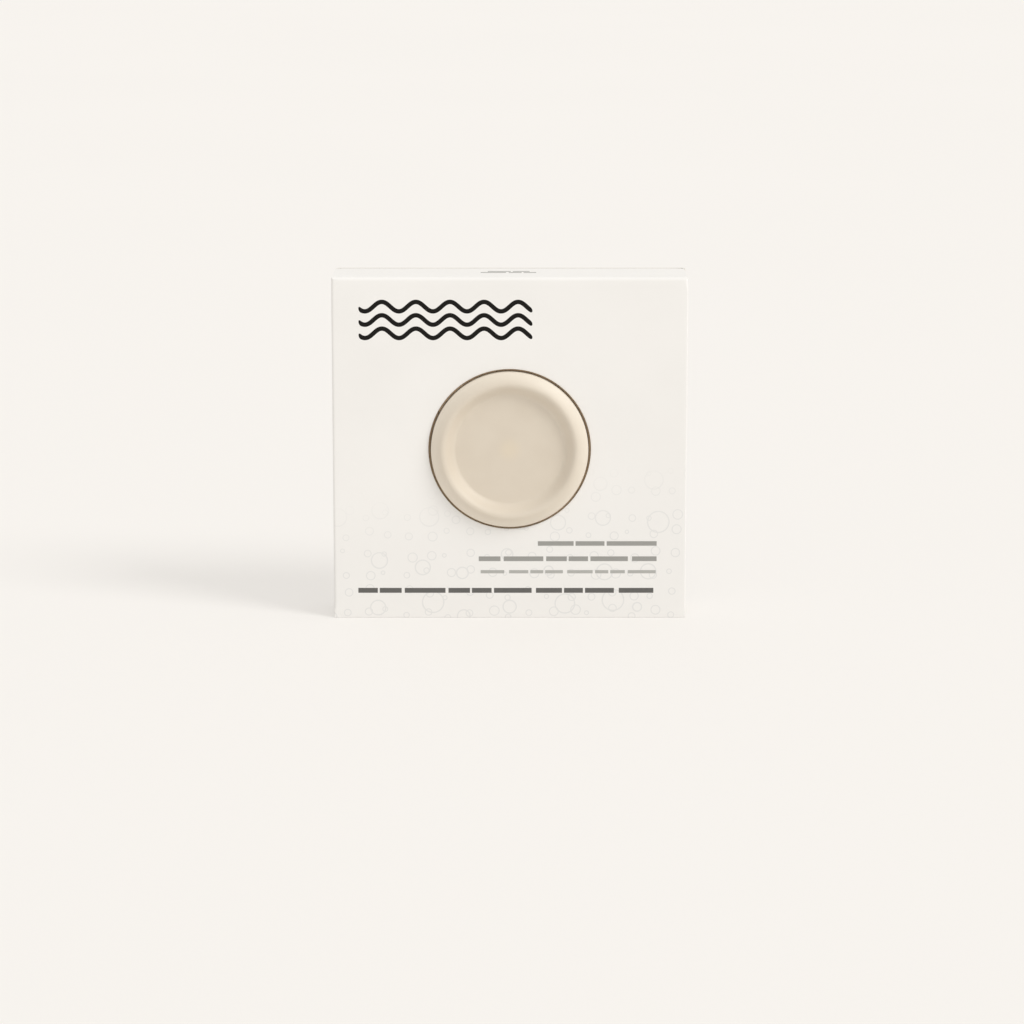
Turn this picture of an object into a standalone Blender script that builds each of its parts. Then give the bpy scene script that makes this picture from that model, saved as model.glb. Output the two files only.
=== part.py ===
"""Magnetic soap holder in its windowed folding carton.

Lengths are metres, +Z is up and the carton's front looks along -Y. The origin is the middle
of the carton's base. A round dished holder stands a little proud of a round window. A folded
inner card carries it, and behind that card lie the toothed plate for the soap and the leaflet.
"""

import math

import bmesh
import bpy
from mathutils import Matrix, Vector

# Carton
carton_width = 0.090
carton_height = 0.088
board_thickness = 0.0005
fold_radius = 0.0010
fold_land = 0.0004
panel_gap = 0.0003
lid_side_gap = 0.0003
tuck_depth = 0.0100
tuck_side_gap = 0.0020
tuck_corner_radius = 0.0035
dust_flap_reach = 0.0150
dust_flap_root_gap = 0.0010
dust_flap_tip_setback = 0.0022
dust_flap_corner_radius = 0.0012
glue_flap_width = 0.0100
glue_flap_end_gap = 0.0060
glue_flap_taper = 0.0030

# Round holder, measured along its own axis from the outer face of the front panel
holder_radius = 0.0200
holder_proud = 0.0030
dish_depth = 0.0024
ramp_width = 0.0034
rim_land = 0.0002
shoulder_width = 0.0028
shoulder_drop = 0.0019
dish_floor_thickness = 0.0012
cup_wall = 0.0016
cover_ledge = 0.0012
collar_wall = 0.0012
collar_length = 0.0022
window_clearance = 0.00065
pocket_clearance = 0.00015
seat_gap = 0.0003

# What the holder holds
magnet_radius = 0.0100
magnet_thickness = 0.0030
keeper_wall = 0.0012
cover_thickness = 0.0012
cover_boss_radius = 0.0080
cover_boss_height = 0.0006
pad_margin = 0.0035
pad_thickness = 0.0010
liner_margin = 0.0003
liner_thickness = 0.0002
liner_tab_inset = 0.0008
liner_tab_width = 0.0090

# Inner card, soap plate and leaflet
card_thickness = 0.0005
card_fold_radius = 0.0009
card_head_gap = 0.0007
plate_clearance = 0.0008
plate_thickness = 0.0006
plate_skirt = 0.0052
plate_notch_depth = 0.0036
plate_tooth_count = 12
leaflet_width = 0.052
leaflet_end_gap = 0.0070
leaflet_thickness = 0.0005
rear_spare = 0.0011

# Finish of the mesh
fold_segments = 4
turned_steps = 48
window_steps = 72
corner_steps = 8
ramp_steps = 6
sharp_angle = math.radians(35)
merge_distance = 0.00001
overrun = 0.0010

# How quickly the shoulder steepens: its drop grows as this power of its share of the width
shoulder_curve = 1.4

# How far a dust flap's front edge slopes back for each step away from its fold, so that it
# rises at half the lid's angle without touching the lid
flap_slope_share = 0.48

# Heights along the holder's axis, counted forward from the front panel's outer face
magnet_seat = 2 * seat_gap + magnet_thickness
keeper_seat = keeper_wall + seat_gap
holder_length = (
    dish_depth
    + dish_floor_thickness
    + magnet_seat
    + keeper_seat
    + cover_boss_height
    + cover_thickness
)
crest_z = holder_proud
floor_z = crest_z - dish_depth
ceiling_z = floor_z - dish_floor_thickness
rear_z = crest_z - holder_length
pad_z = rear_z - seat_gap
liner_z = pad_z - pad_thickness - seat_gap
web_z = liner_z - liner_thickness - seat_gap

# The carton is as deep as what it holds
rear_bay = seat_gap + plate_skirt + rear_spare + leaflet_thickness + panel_gap
carton_depth = -web_z + card_thickness + rear_bay + board_thickness

# Places worked out from the sizes above
front_y = -carton_depth / 2
back_y = carton_depth / 2
side_x = carton_width / 2
fold_return = fold_radius + fold_land
window_z = carton_height / 2
hinge_y = front_y + fold_return
tuck_face_y = back_y - board_thickness - panel_gap
lid_reach = tuck_face_y - hinge_y
tuck_half_width = side_x - tuck_side_gap
flap_level = board_thickness + panel_gap
flap_hinge_x = side_x - fold_return
card_level = flap_level + board_thickness + panel_gap
card_fold_return = card_fold_radius + fold_land
card_half_width = side_x - 2 * (board_thickness + panel_gap)
card_front_y = front_y + board_thickness + panel_gap
web_front_y = front_y - web_z
plate_front_y = web_front_y + card_thickness + seat_gap
leaflet_y = back_y - board_thickness - panel_gap - leaflet_thickness / 2
rim_inner_radius = holder_radius - shoulder_width - rim_land
dish_radius = rim_inner_radius - ramp_width
keeper_radius = magnet_radius + seat_gap + keeper_wall
pad_radius = holder_radius - pad_margin
plate_radius = dish_radius - plate_clearance

TURN_FRONT = (Vector((1, 0, 0)), Vector((0, 0, 1)))
TURN_BACK = (Vector((-1, 0, 0)), Vector((0, 0, 1)))
TURN_RIGHT = (Vector((0, 1, 0)), Vector((0, 0, 1)))
TURN_LEFT = (Vector((0, -1, 0)), Vector((0, 0, 1)))


def clear_scene():
    """Remove every object and the collections that held them."""
    for item in list(bpy.data.objects):
        bpy.data.objects.remove(item, do_unlink=True)
    for group in list(bpy.data.collections):
        bpy.data.collections.remove(group)


def new_collection(name):
    """Make a collection in the scene."""
    group = bpy.data.collections.new(name)
    bpy.context.scene.collection.children.link(group)
    return group


def finish_material(name, colour, roughness, metallic=0.0):
    """Make a Principled material."""
    material = bpy.data.materials.new(name)
    material.use_nodes = True
    shader = material.node_tree.nodes["Principled BSDF"]
    shader.inputs["Base Color"].default_value = (*colour, 1.0)
    shader.inputs["Roughness"].default_value = roughness
    shader.inputs["Metallic"].default_value = metallic
    return material


def add_object(name, data, material, group):
    """Link a new object that carries the material."""
    item = bpy.data.objects.new(name, data)
    data.materials.append(material)
    group.objects.link(item)
    return item


def place(item, centre, right, up, pivot=None):
    """Stand an object's local X along right and local Y along up, under its pivot if it moves."""
    facing = right.cross(up)
    item.rotation_euler = Matrix((right, up, facing)).transposed().to_euler()
    item.location = Vector(centre)
    if pivot is not None:
        item.parent = pivot
        item.location = Vector(centre) - pivot.location


def add_pivot(name, point):
    """An empty on a hinge line or slide axis, which carries what moves there."""
    pivot = bpy.data.objects.new(name, None)
    pivot.location = Vector(point)
    pivot.empty_display_size = fold_return
    parts.objects.link(pivot)
    return pivot


def mesh_from(name, bm):
    """Write a bmesh into a new mesh."""
    mesh = bpy.data.meshes.new(name)
    bm.to_mesh(mesh)
    bm.free()
    return mesh


def shade_round(mesh):
    """Smooth the round faces and keep the real edges sharp."""
    mesh.shade_smooth()
    mesh.set_sharp_from_angle(angle=sharp_angle)


def add_folded_panel(name, material, width, height, folded_sides, thickness, radius):
    """A flat panel whose chosen sides turn back through a rounded fold.

    The outer face is the local XY plane, seen from +Z, and the folds turn towards -Z.
    """
    outward = {"left": (-1, 0), "right": (1, 0), "bottom": (0, -1), "top": (0, 1)}
    bm = bmesh.new()
    bmesh.ops.create_grid(bm, x_segments=1, y_segments=1, size=0.5)
    turned = []
    for edge in bm.edges:
        middle = (edge.verts[0].co + edge.verts[1].co).xy / 2
        if any(middle.dot(outward[side]) > 1 / 4 for side in folded_sides):
            turned.append(edge)
    bmesh.ops.scale(bm, vec=(width, height, 1.0), verts=bm.verts)
    grown = bmesh.ops.extrude_edge_only(bm, edges=turned)["geom"]
    drop = Vector((0, 0, -(radius + fold_land)))
    lowered = [part for part in grown if isinstance(part, bmesh.types.BMVert)]
    bmesh.ops.translate(bm, vec=drop, verts=lowered)
    bmesh.ops.bevel(
        bm,
        geom=turned,
        offset=radius,
        segments=fold_segments,
        profile=0.5,
        affect="EDGES",
    )
    bmesh.ops.recalc_face_normals(bm, faces=bm.faces)
    if max(bm.faces, key=lambda face: face.calc_area()).normal.z < 0:
        bmesh.ops.reverse_faces(bm, faces=bm.faces)
    mesh = mesh_from(name, bm)
    shade_round(mesh)
    item = add_object(name, mesh, material, parts)
    wall = item.modifiers.new("Board", "SOLIDIFY")
    wall.thickness = thickness
    wall.offset = -1.0
    wall.use_even_offset = True
    return item


def add_outline_sheet(name, material, points, thickness):
    """A flat sheet cut to an outline, with half its thickness on each side of its plane."""
    curve = bpy.data.curves.new(name, "CURVE")
    curve.dimensions = "2D"
    curve.fill_mode = "BOTH"
    curve.extrude = thickness / 2
    spline = curve.splines.new("POLY")
    spline.points.add(len(points) - 1)
    for point, (across, along) in zip(spline.points, points):
        point.co = (across, along, 0.0, 1.0)
    spline.use_cyclic_u = True
    return add_object(name, curve, material, parts)


def rounded_corner(before, corner, after, radius):
    """Points of an arc that rounds one corner of an outline."""
    corner = Vector(corner)
    towards_before = (Vector(before) - corner).normalized()
    towards_after = (Vector(after) - corner).normalized()
    half = towards_before.angle(towards_after) / 2
    setback = radius / math.tan(half)
    centre = corner + (towards_before + towards_after).normalized() * (
        radius / math.sin(half)
    )
    start = (corner + towards_before * setback - centre).normalized()
    finish = (corner + towards_after * setback - centre).normalized()
    points = []
    for step in range(corner_steps + 1):
        arm = start.slerp(finish, step / corner_steps)
        points.append(tuple(centre + arm * radius))
    return points


def add_turned(name, material, profile):
    """Turn a profile of (radius, height) points about the local Z axis."""
    mesh = bpy.data.meshes.new(name)
    verts = [(radius, 0.0, height) for radius, height in profile]
    edges = [(index, index + 1) for index in range(len(verts) - 1)]
    mesh.from_pydata(verts, edges, [])
    item = add_object(name, mesh, material, parts)
    screw = item.modifiers.new("Turn", "SCREW")
    screw.axis = "Z"
    screw.steps = turned_steps
    screw.render_steps = turned_steps
    screw.use_merge_vertices = True
    screw.merge_threshold = merge_distance
    screw.use_smooth_shade = True
    return item


def add_disc(name, material, radius, thickness, low_z, steps=turned_steps):
    """A flat disc about the local Z axis, standing on low_z."""
    bm = bmesh.new()
    bmesh.ops.create_cone(
        bm,
        cap_ends=True,
        segments=steps,
        radius1=radius,
        radius2=radius,
        depth=thickness,
    )
    bmesh.ops.translate(bm, vec=(0, 0, low_z + thickness / 2), verts=bm.verts)
    mesh = mesh_from(name, bm)
    shade_round(mesh)
    return add_object(name, mesh, material, parts)


def add_box(name, material, low, high, group=None):
    """A box between two corners, with its origin at its middle."""
    low = Vector(low)
    high = Vector(high)
    bm = bmesh.new()
    bmesh.ops.create_cube(bm, size=1.0)
    bmesh.ops.scale(bm, vec=high - low, verts=bm.verts)
    item = add_object(name, mesh_from(name, bm), material, group or parts)
    item.location = (low + high) / 2
    return item


def make_cutter(item):
    """Turn an object into a hidden cutter."""
    for group in list(item.users_collection):
        group.objects.unlink(item)
    cutters.objects.link(item)
    item.hide_render = True
    item.display_type = "WIRE"
    return item


def cut(item, cutter, operation="DIFFERENCE"):
    """Cut an object with another, or join the two into one body."""
    step = item.modifiers.new("Cut", "BOOLEAN")
    step.operation = operation
    step.solver = "EXACT"
    step.object = cutter


def lean_of_tuck():
    """Angle that the tuck flap leans in, so its tip swings on the same circle as the lid's end.

    The tip lies at (reach - depth sin a, drop + depth cos a) from the lid's hinge. Setting its
    distance equal to the reach gives a sine of a shifted angle.
    """
    drop = fold_return + panel_gap / 2
    span = 2 * math.hypot(lid_reach, drop)
    shift = math.atan2(drop, lid_reach)
    return shift + math.asin((drop**2 + tuck_depth**2) / (tuck_depth * span))


def tuck_outline():
    """Outline of a tuck flap, wide at its fold and rounded at its two free corners."""
    near = panel_gap
    far = tuck_depth
    half = tuck_half_width
    right = rounded_corner((half, near), (half, far), (-half, far), tuck_corner_radius)
    left = rounded_corner((half, far), (-half, far), (-half, near), tuck_corner_radius)
    return [(half, near), *right, *left, (-half, near)]


def dust_outline():
    """Outline of a dust flap, as distance from its fold and distance from the lid's hinge.

    The front edge slopes, so the rising flap stays under the rising lid. The back edge stays
    inside the circle that the tuck flap's inner face sweeps about the lid's hinge.
    """
    swept = math.sqrt(lid_reach**2 - (tuck_depth / 2) ** 2)
    root_front = dust_flap_root_gap
    root_back = swept - board_thickness - panel_gap
    tip_front = root_front + flap_slope_share * dust_flap_reach
    tip_back = root_back - dust_flap_tip_setback
    a = (panel_gap, root_front)
    b = (dust_flap_reach, tip_front)
    c = (dust_flap_reach, tip_back)
    d = (panel_gap, root_back)
    front_corner = rounded_corner(a, b, c, dust_flap_corner_radius)
    back_corner = rounded_corner(b, c, d, dust_flap_corner_radius)
    return [a, *front_corner, *back_corner, d]


def add_front_panel():
    """Front panel with a rounded fold on all four sides and the round window."""
    sides = ("left", "right", "top", "bottom")
    panel = add_folded_panel(
        "front_panel",
        board_white,
        carton_width,
        carton_height,
        sides,
        board_thickness,
        fold_radius,
    )
    place(panel, (0, front_y, carton_height / 2), *TURN_FRONT)
    radius = holder_radius + window_clearance
    window = make_cutter(
        add_disc(
            "window_cutter",
            board_white,
            radius,
            board_thickness + 2 * overrun,
            -board_thickness - overrun,
            window_steps,
        )
    )
    place(window, (0, front_y, window_z), *TURN_FRONT)
    cut(panel, window)


def add_back_panel():
    """Back panel, folded into the right side and into the glue flap on the left."""
    left_x = -side_x + board_thickness + panel_gap
    panel = add_folded_panel(
        "back_panel",
        board_white,
        side_x - left_x,
        carton_height,
        ("left", "right"),
        board_thickness,
        fold_radius,
    )
    place(panel, ((side_x + left_x) / 2, back_y, carton_height / 2), *TURN_BACK)


def add_side_panels():
    """Two side panels, each folded at the top and bottom into its dust flaps."""
    depth = carton_depth - 2 * (fold_return + panel_gap)
    height = carton_height - 2 * flap_level
    for name, side, turn in (
        ("right_side_panel", 1, TURN_RIGHT),
        ("left_side_panel", -1, TURN_LEFT),
    ):
        panel = add_folded_panel(
            name,
            board_white,
            depth,
            height,
            ("top", "bottom"),
            board_thickness,
            fold_radius,
        )
        place(panel, (side * side_x, 0, carton_height / 2), *turn)


def add_glue_flap():
    """Flap that turns in from the back panel and is glued inside the left side panel."""
    back_edge = back_y - fold_return - panel_gap
    front_edge = back_edge - glue_flap_width
    low = glue_flap_end_gap
    high = carton_height - glue_flap_end_gap
    points = [
        (back_edge, low),
        (back_edge, high),
        (front_edge, high - glue_flap_taper),
        (front_edge, low + glue_flap_taper),
    ]
    flap = add_outline_sheet("glue_flap", board_white, points, board_thickness)
    middle_x = -side_x + board_thickness + panel_gap + board_thickness / 2
    place(flap, (middle_x, 0, 0), *TURN_RIGHT)


def add_end(word, outer_z, inward):
    """Lid, tuck flap and two dust flaps of one end; inward is the Z direction into the carton."""
    lid_pivot = add_pivot(word + "_lid_pivot", (0, hinge_y, outer_z))
    lid_start = hinge_y + panel_gap
    length = tuck_face_y - lid_start
    half = side_x - lid_side_gap
    lid = add_folded_panel(
        word + "_lid",
        board_white,
        2 * half,
        length,
        ("top",) if inward < 0 else ("bottom",),
        board_thickness,
        fold_radius,
    )
    up = Vector((0, -inward, 0))
    place(lid, (0, lid_start + length / 2, outer_z), Vector((1, 0, 0)), up, lid_pivot)
    for side in (-1, 1):
        notch_y = back_y - fold_return - panel_gap
        near = (side * tuck_half_width, notch_y, outer_z - inward * overrun)
        far = (side * side_x, back_y, outer_z + inward * (fold_return + overrun))
        low = [min(pair) for pair in zip(near, far)]
        high = [max(pair) for pair in zip(near, far)]
        notch = make_cutter(add_box(word + "_notch_cutter", board_white, low, high))
        cut(lid, notch)
    lean = lean_of_tuck()
    crease_z = outer_z + inward * (fold_return + panel_gap / 2)
    tuck_pivot = add_pivot(word + "_tuck_pivot", (0, tuck_face_y, crease_z))
    along = Vector((0, -math.sin(lean), inward * math.cos(lean)))
    tuck = add_outline_sheet(word + "_tuck_flap", board_white, tuck_outline(), board_thickness)
    inner = Vector((0, -math.cos(lean), -inward * math.sin(lean)))
    centre = Vector((0, tuck_face_y, crease_z)) + inner * board_thickness / 2
    place(tuck, centre, Vector((1, 0, 0)), along, tuck_pivot)
    flap_z = outer_z + inward * flap_level
    for side_name, side in (("left", -1), ("right", 1)):
        name = word + "_dust_flap_" + side_name
        hinge = (side * flap_hinge_x, hinge_y, flap_z)
        flap_pivot = add_pivot(name + "_pivot", hinge)
        flap = add_outline_sheet(name, board_white, dust_outline(), board_thickness)
        middle = (hinge[0], hinge_y, flap_z + inward * board_thickness / 2)
        place(flap, middle, Vector((-side, 0, 0)), Vector((0, 1, 0)), flap_pivot)


def add_inner_card():
    """Folded sleeve of raw card: a face with the holder's pocket, two walls and a rear web."""
    low = card_level
    high = carton_height - card_level - card_head_gap
    height = high - low
    middle_z = (low + high) / 2
    face = add_folded_panel(
        "insert_face",
        card_brown,
        2 * card_half_width,
        height,
        ("left", "right"),
        card_thickness,
        card_fold_radius,
    )
    place(face, (0, card_front_y, middle_z), *TURN_FRONT)
    pocket = make_cutter(
        add_disc(
            "pocket_cutter",
            card_brown,
            holder_radius + pocket_clearance,
            card_thickness + 2 * overrun,
            -card_thickness - overrun,
            window_steps,
        )
    )
    place(pocket, (0, card_front_y, window_z), *TURN_FRONT)
    cut(face, pocket)
    web_back_y = web_front_y + card_thickness
    web = add_folded_panel(
        "insert_web",
        card_brown,
        2 * card_half_width,
        height,
        ("left", "right"),
        card_thickness,
        card_fold_radius,
    )
    place(web, (0, web_back_y, middle_z), *TURN_BACK)
    wall_front = card_front_y + card_fold_return + panel_gap
    wall_back = web_back_y - card_fold_return - panel_gap
    for name, side in (("insert_left_wall", -1), ("insert_right_wall", 1)):
        edges = (side * card_half_width, side * (card_half_width - card_thickness))
        add_box(name, card_brown, (min(edges), wall_front, low), (max(edges), wall_back, high))


def cup_profile():
    """Section of the dished cup, from the middle of its floor round to the back of the floor."""
    profile = [(0.0, floor_z)]
    for step in range(ramp_steps + 1):
        share = step / ramp_steps
        rise = (1 - math.cos(math.pi * share)) / 2
        radius = dish_radius + (rim_inner_radius - dish_radius) * share
        profile.append((radius, floor_z + dish_depth * rise))
    for step in range(corner_steps + 1):
        share = step / corner_steps
        radius = holder_radius - shoulder_width * (1 - share)
        profile.append((radius, crest_z - shoulder_drop * share**shoulder_curve))
    seat_radius = holder_radius - cup_wall
    ledge_radius = seat_radius - cover_ledge
    ledge_z = rear_z + cover_thickness + seat_gap
    collar_inner = keeper_radius + seat_gap
    collar_outer = collar_inner + collar_wall
    profile += [
        (holder_radius, rear_z),
        (seat_radius, rear_z),
        (seat_radius, ledge_z),
        (ledge_radius, ledge_z),
        (ledge_radius, ceiling_z),
        (collar_outer, ceiling_z),
        (collar_outer, ceiling_z - collar_length),
        (collar_inner, ceiling_z - collar_length),
        (collar_inner, ceiling_z),
        (0.0, ceiling_z),
    ]
    return profile


def add_holder():
    """The round holder, drawn forward along its own axis as one body."""
    axis = add_pivot("holder_pivot", (0, front_y, window_z))

    def seat(item):
        place(item, (0, front_y, window_z), *TURN_FRONT, axis)

    seat(add_turned("holder_cup", nylon_sand, cup_profile()))
    magnet_top = ceiling_z - seat_gap
    magnet_low = magnet_top - magnet_thickness
    seat(add_disc("magnet", magnet_nickel, magnet_radius, magnet_thickness, magnet_low))
    keeper_floor = magnet_low - seat_gap
    keeper_low = keeper_floor - keeper_wall
    keeper_inner = keeper_radius - keeper_wall
    keeper = [
        (0.0, keeper_floor),
        (keeper_inner, keeper_floor),
        (keeper_inner, magnet_top),
        (keeper_radius, magnet_top),
        (keeper_radius, keeper_low),
        (0.0, keeper_low),
    ]
    seat(add_turned("keeper", keeper_steel, keeper))
    cover_radius = holder_radius - cup_wall - seat_gap
    cover_top = rear_z + cover_thickness
    cover = [
        (0.0, keeper_low - seat_gap),
        (cover_boss_radius, keeper_low - seat_gap),
        (cover_boss_radius, cover_top),
        (cover_radius, cover_top),
        (cover_radius, rear_z),
        (0.0, rear_z),
    ]
    seat(add_turned("back_cover", nylon_sand, cover))
    seat(add_disc("adhesive_pad", foam_white, pad_radius, pad_thickness, pad_z - pad_thickness))
    liner_low = liner_z - liner_thickness
    liner_radius = pad_radius + liner_margin
    liner = add_disc("release_liner", liner_paper, liner_radius, liner_thickness, liner_low)
    seat(liner)
    tab_far = holder_radius - liner_tab_inset
    tab = make_cutter(
        add_box(
            "liner_tab",
            liner_paper,
            (-liner_tab_width / 2, pad_radius / 2, liner_low),
            (liner_tab_width / 2, tab_far, liner_low + liner_thickness),
        )
    )
    tab_centre = tab.location.copy()
    point = (0, front_y - tab_centre.z, window_z + tab_centre.y)
    place(tab, point, *TURN_FRONT)
    cut(liner, tab, "UNION")


def add_soap_plate():
    """Round steel plate with a toothed skirt, kept behind the rear web by the magnet's pull."""
    inner = plate_radius - plate_thickness
    profile = [
        (0.0, 0.0),
        (plate_radius, 0.0),
        (plate_radius, -plate_skirt),
        (inner, -plate_skirt),
        (inner, -plate_thickness),
        (0.0, -plate_thickness),
    ]
    plate = add_turned("soap_plate", plate_steel, profile)
    place(plate, (0, plate_front_y, window_z), *TURN_FRONT)
    pitch = 2 * math.pi / plate_tooth_count
    half_notch = plate_radius * math.tan(pitch / 2)
    notch_top = -plate_skirt + plate_notch_depth
    for index in range(plate_tooth_count):
        angle = (index + 0.5) * pitch
        bm = bmesh.new()
        # The wedge of one gap between teeth: wide at the skirt's free edge, closed at its root
        bmesh.ops.create_cone(
            bm,
            cap_ends=True,
            segments=3,
            radius1=1.0,
            radius2=1.0,
            depth=1.0,
        )
        turn = Matrix.Rotation(math.pi / 2, 3, "X")
        bmesh.ops.rotate(bm, matrix=turn, verts=bm.verts)
        lowest = min(vert.co.z for vert in bm.verts)
        highest = max(vert.co.z for vert in bm.verts)
        widest = max(vert.co.x for vert in bm.verts)
        tall = plate_notch_depth + overrun
        grow = (half_notch / widest, 4 * plate_thickness, tall / (highest - lowest))
        bmesh.ops.scale(bm, vec=grow, verts=bm.verts)
        highest = max(vert.co.z for vert in bm.verts)
        bmesh.ops.translate(bm, vec=(0, plate_radius, notch_top - highest), verts=bm.verts)
        spin = Matrix.Rotation(angle, 3, "Z")
        bmesh.ops.rotate(bm, matrix=spin, verts=bm.verts)
        notch = add_object("tooth_gap_cutter", mesh_from("tooth_gap", bm), plate_steel, parts)
        make_cutter(notch)
        place(notch, (0, plate_front_y, window_z), *TURN_FRONT)
        cut(plate, notch)


def add_leaflet():
    """Folded leaflet that stands against the inside of the back panel."""
    half = leaflet_width / 2
    low = (-half, leaflet_y - leaflet_thickness / 2, leaflet_end_gap)
    high = (half, leaflet_y + leaflet_thickness / 2, carton_height - leaflet_end_gap)
    add_box("leaflet", leaflet_paper, low, high)


clear_scene()
parts = new_collection("magnetic_soap_holder")
cutters = new_collection("cutters")
board_white = finish_material("board_white", (0.86, 0.84, 0.79), 0.62)
card_brown = finish_material("card_brown", (0.30, 0.19, 0.10), 0.85)
nylon_sand = finish_material("nylon_sand", (0.72, 0.61, 0.47), 0.48)
magnet_nickel = finish_material("magnet_nickel", (0.62, 0.60, 0.56), 0.22, 1.0)
keeper_steel = finish_material("keeper_steel", (0.52, 0.53, 0.55), 0.35, 1.0)
foam_white = finish_material("foam_white", (0.80, 0.80, 0.78), 0.80)
liner_paper = finish_material("liner_paper", (0.66, 0.58, 0.40), 0.45)
plate_steel = finish_material("plate_steel", (0.60, 0.60, 0.61), 0.28, 1.0)
leaflet_paper = finish_material("leaflet_paper", (0.84, 0.83, 0.80), 0.75)

add_front_panel()
add_back_panel()
add_side_panels()
add_glue_flap()
add_end("top", carton_height, -1)
add_end("bottom", 0.0, 1)
add_inner_card()
add_holder()
add_soap_plate()
add_leaflet()
print("lean of the tuck flaps, degrees", round(math.degrees(lean_of_tuck()), 2))
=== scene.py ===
# %% [markdown]
# # A magnetic soap holder in its windowed carton
#
# This notebook dresses a packed CAD model: a small folding carton of coated board with a
# round window, and a dished holder of sand coloured recycled plastic that looks out of it.
# Inside are a folded card that carries the holder, a magnet in a steel cup, an adhesive pad,
# a toothed plate for the soap and a leaflet.
#
# Every surface is worked out with numpy as a function of two parameters and written into a
# mesh. The first cell loads the frame's CAD nodes; the bodies that they ride on are made as
# empties when the pieces are attached. Everything is in metres, with the carton's front looking
# along -Y.

import inspect
import math
from functools import partial, partialmethod

import bpy
import numpy as np
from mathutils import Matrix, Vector


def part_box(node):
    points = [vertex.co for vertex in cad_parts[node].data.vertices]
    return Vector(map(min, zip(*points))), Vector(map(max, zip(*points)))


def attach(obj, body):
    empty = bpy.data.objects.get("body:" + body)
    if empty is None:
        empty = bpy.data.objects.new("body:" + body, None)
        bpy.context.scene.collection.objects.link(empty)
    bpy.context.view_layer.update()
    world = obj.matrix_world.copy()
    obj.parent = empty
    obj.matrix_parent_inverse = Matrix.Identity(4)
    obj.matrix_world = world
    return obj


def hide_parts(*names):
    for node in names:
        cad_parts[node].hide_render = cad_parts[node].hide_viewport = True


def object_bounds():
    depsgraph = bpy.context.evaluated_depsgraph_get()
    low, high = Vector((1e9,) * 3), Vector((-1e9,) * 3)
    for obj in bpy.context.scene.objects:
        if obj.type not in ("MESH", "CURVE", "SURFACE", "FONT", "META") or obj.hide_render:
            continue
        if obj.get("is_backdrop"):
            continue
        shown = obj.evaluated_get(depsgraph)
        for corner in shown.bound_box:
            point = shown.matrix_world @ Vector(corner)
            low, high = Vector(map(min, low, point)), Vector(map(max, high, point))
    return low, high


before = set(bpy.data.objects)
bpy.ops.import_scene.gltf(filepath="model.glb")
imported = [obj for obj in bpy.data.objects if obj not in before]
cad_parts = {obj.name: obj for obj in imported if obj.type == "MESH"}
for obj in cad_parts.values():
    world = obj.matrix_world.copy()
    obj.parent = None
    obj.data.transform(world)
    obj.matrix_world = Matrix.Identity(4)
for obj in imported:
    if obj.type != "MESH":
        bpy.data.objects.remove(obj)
cad_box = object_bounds()
print("CAD box in mm:", [round(1000 * side, 2) for side in cad_box[1] - cad_box[0]])

# %% [markdown]
# ## Sizes
#
# The sizes repeat the CAD's own values, because this script reads nothing but the frame. Places
# that the CAD works out from other sizes are read off the boxes of its nodes, so the dressed
# pieces land where the solids are.

# %% Sizes of the carton and the holder
MM = 0.001
BOARD = 0.5 * MM
FOLD = 1.0 * MM
LAND = 0.4 * MM
WIDTH = 90.0 * MM
HEIGHT = 88.0 * MM
WINDOW_RADIUS = 20.65 * MM
POCKET_RADIUS = 20.15 * MM
HOLDER_RADIUS = 20.0 * MM
QUARTER = math.pi / 2

front_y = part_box("front_panel")[0].y
back_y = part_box("back_panel")[1].y
crest_y, cup_back_y = (corner.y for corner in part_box("holder_cup"))
window_z = HEIGHT / 2
hinge_y = front_y + FOLD + LAND
print("front and back faces at", round(front_y / MM, 2), round(back_y / MM, 2), "mm")
print("holder from", round(crest_y / MM, 2), "to", round(cup_back_y / MM, 2), "mm")

# %% [markdown]
# ## From arrays to meshes
#
# `foreach_set` copies a flat array into a mesh, far quicker than a loop over vertices. The
# corners of a grid's cells follow from its rows and columns, and numpy finds them all with one
# shift of an index table.

# %% Grids, closed meshes and pieces
SHARP = math.radians(38)


def grid_quads(rows, columns, closed=False):
    """Corner numbers of each cell: a point, its right neighbour, and the two of the next row.
    A closed grid joins its last column to its first."""
    index = np.arange(rows * columns).reshape(rows, columns)
    right = np.roll(index, -1, axis=1)
    last = columns if closed else columns - 1
    cells = (index[:-1, :last], right[:-1, :last], right[1:, :last], index[1:, :last])
    return np.stack(cells, axis=-1).reshape(-1, 4)


def enclosed_volume(points, faces):
    """Six times the volume inside closed faces: the sum of the box products of their triangles
    seen from the origin. It is negative if the faces point inwards."""
    first, second, third = (points[faces[:, corner]] for corner in range(3))
    total = (first * np.cross(second, third)).sum()
    if faces.shape[1] == 4:
        total += (first * np.cross(third, points[faces[:, 3]])).sum()
    return total


def add_object(name, data):
    """Put a mesh, a lamp or a camera into the scene."""
    made = bpy.data.objects.new(name, data)
    bpy.context.scene.collection.objects.link(made)
    return made


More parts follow.
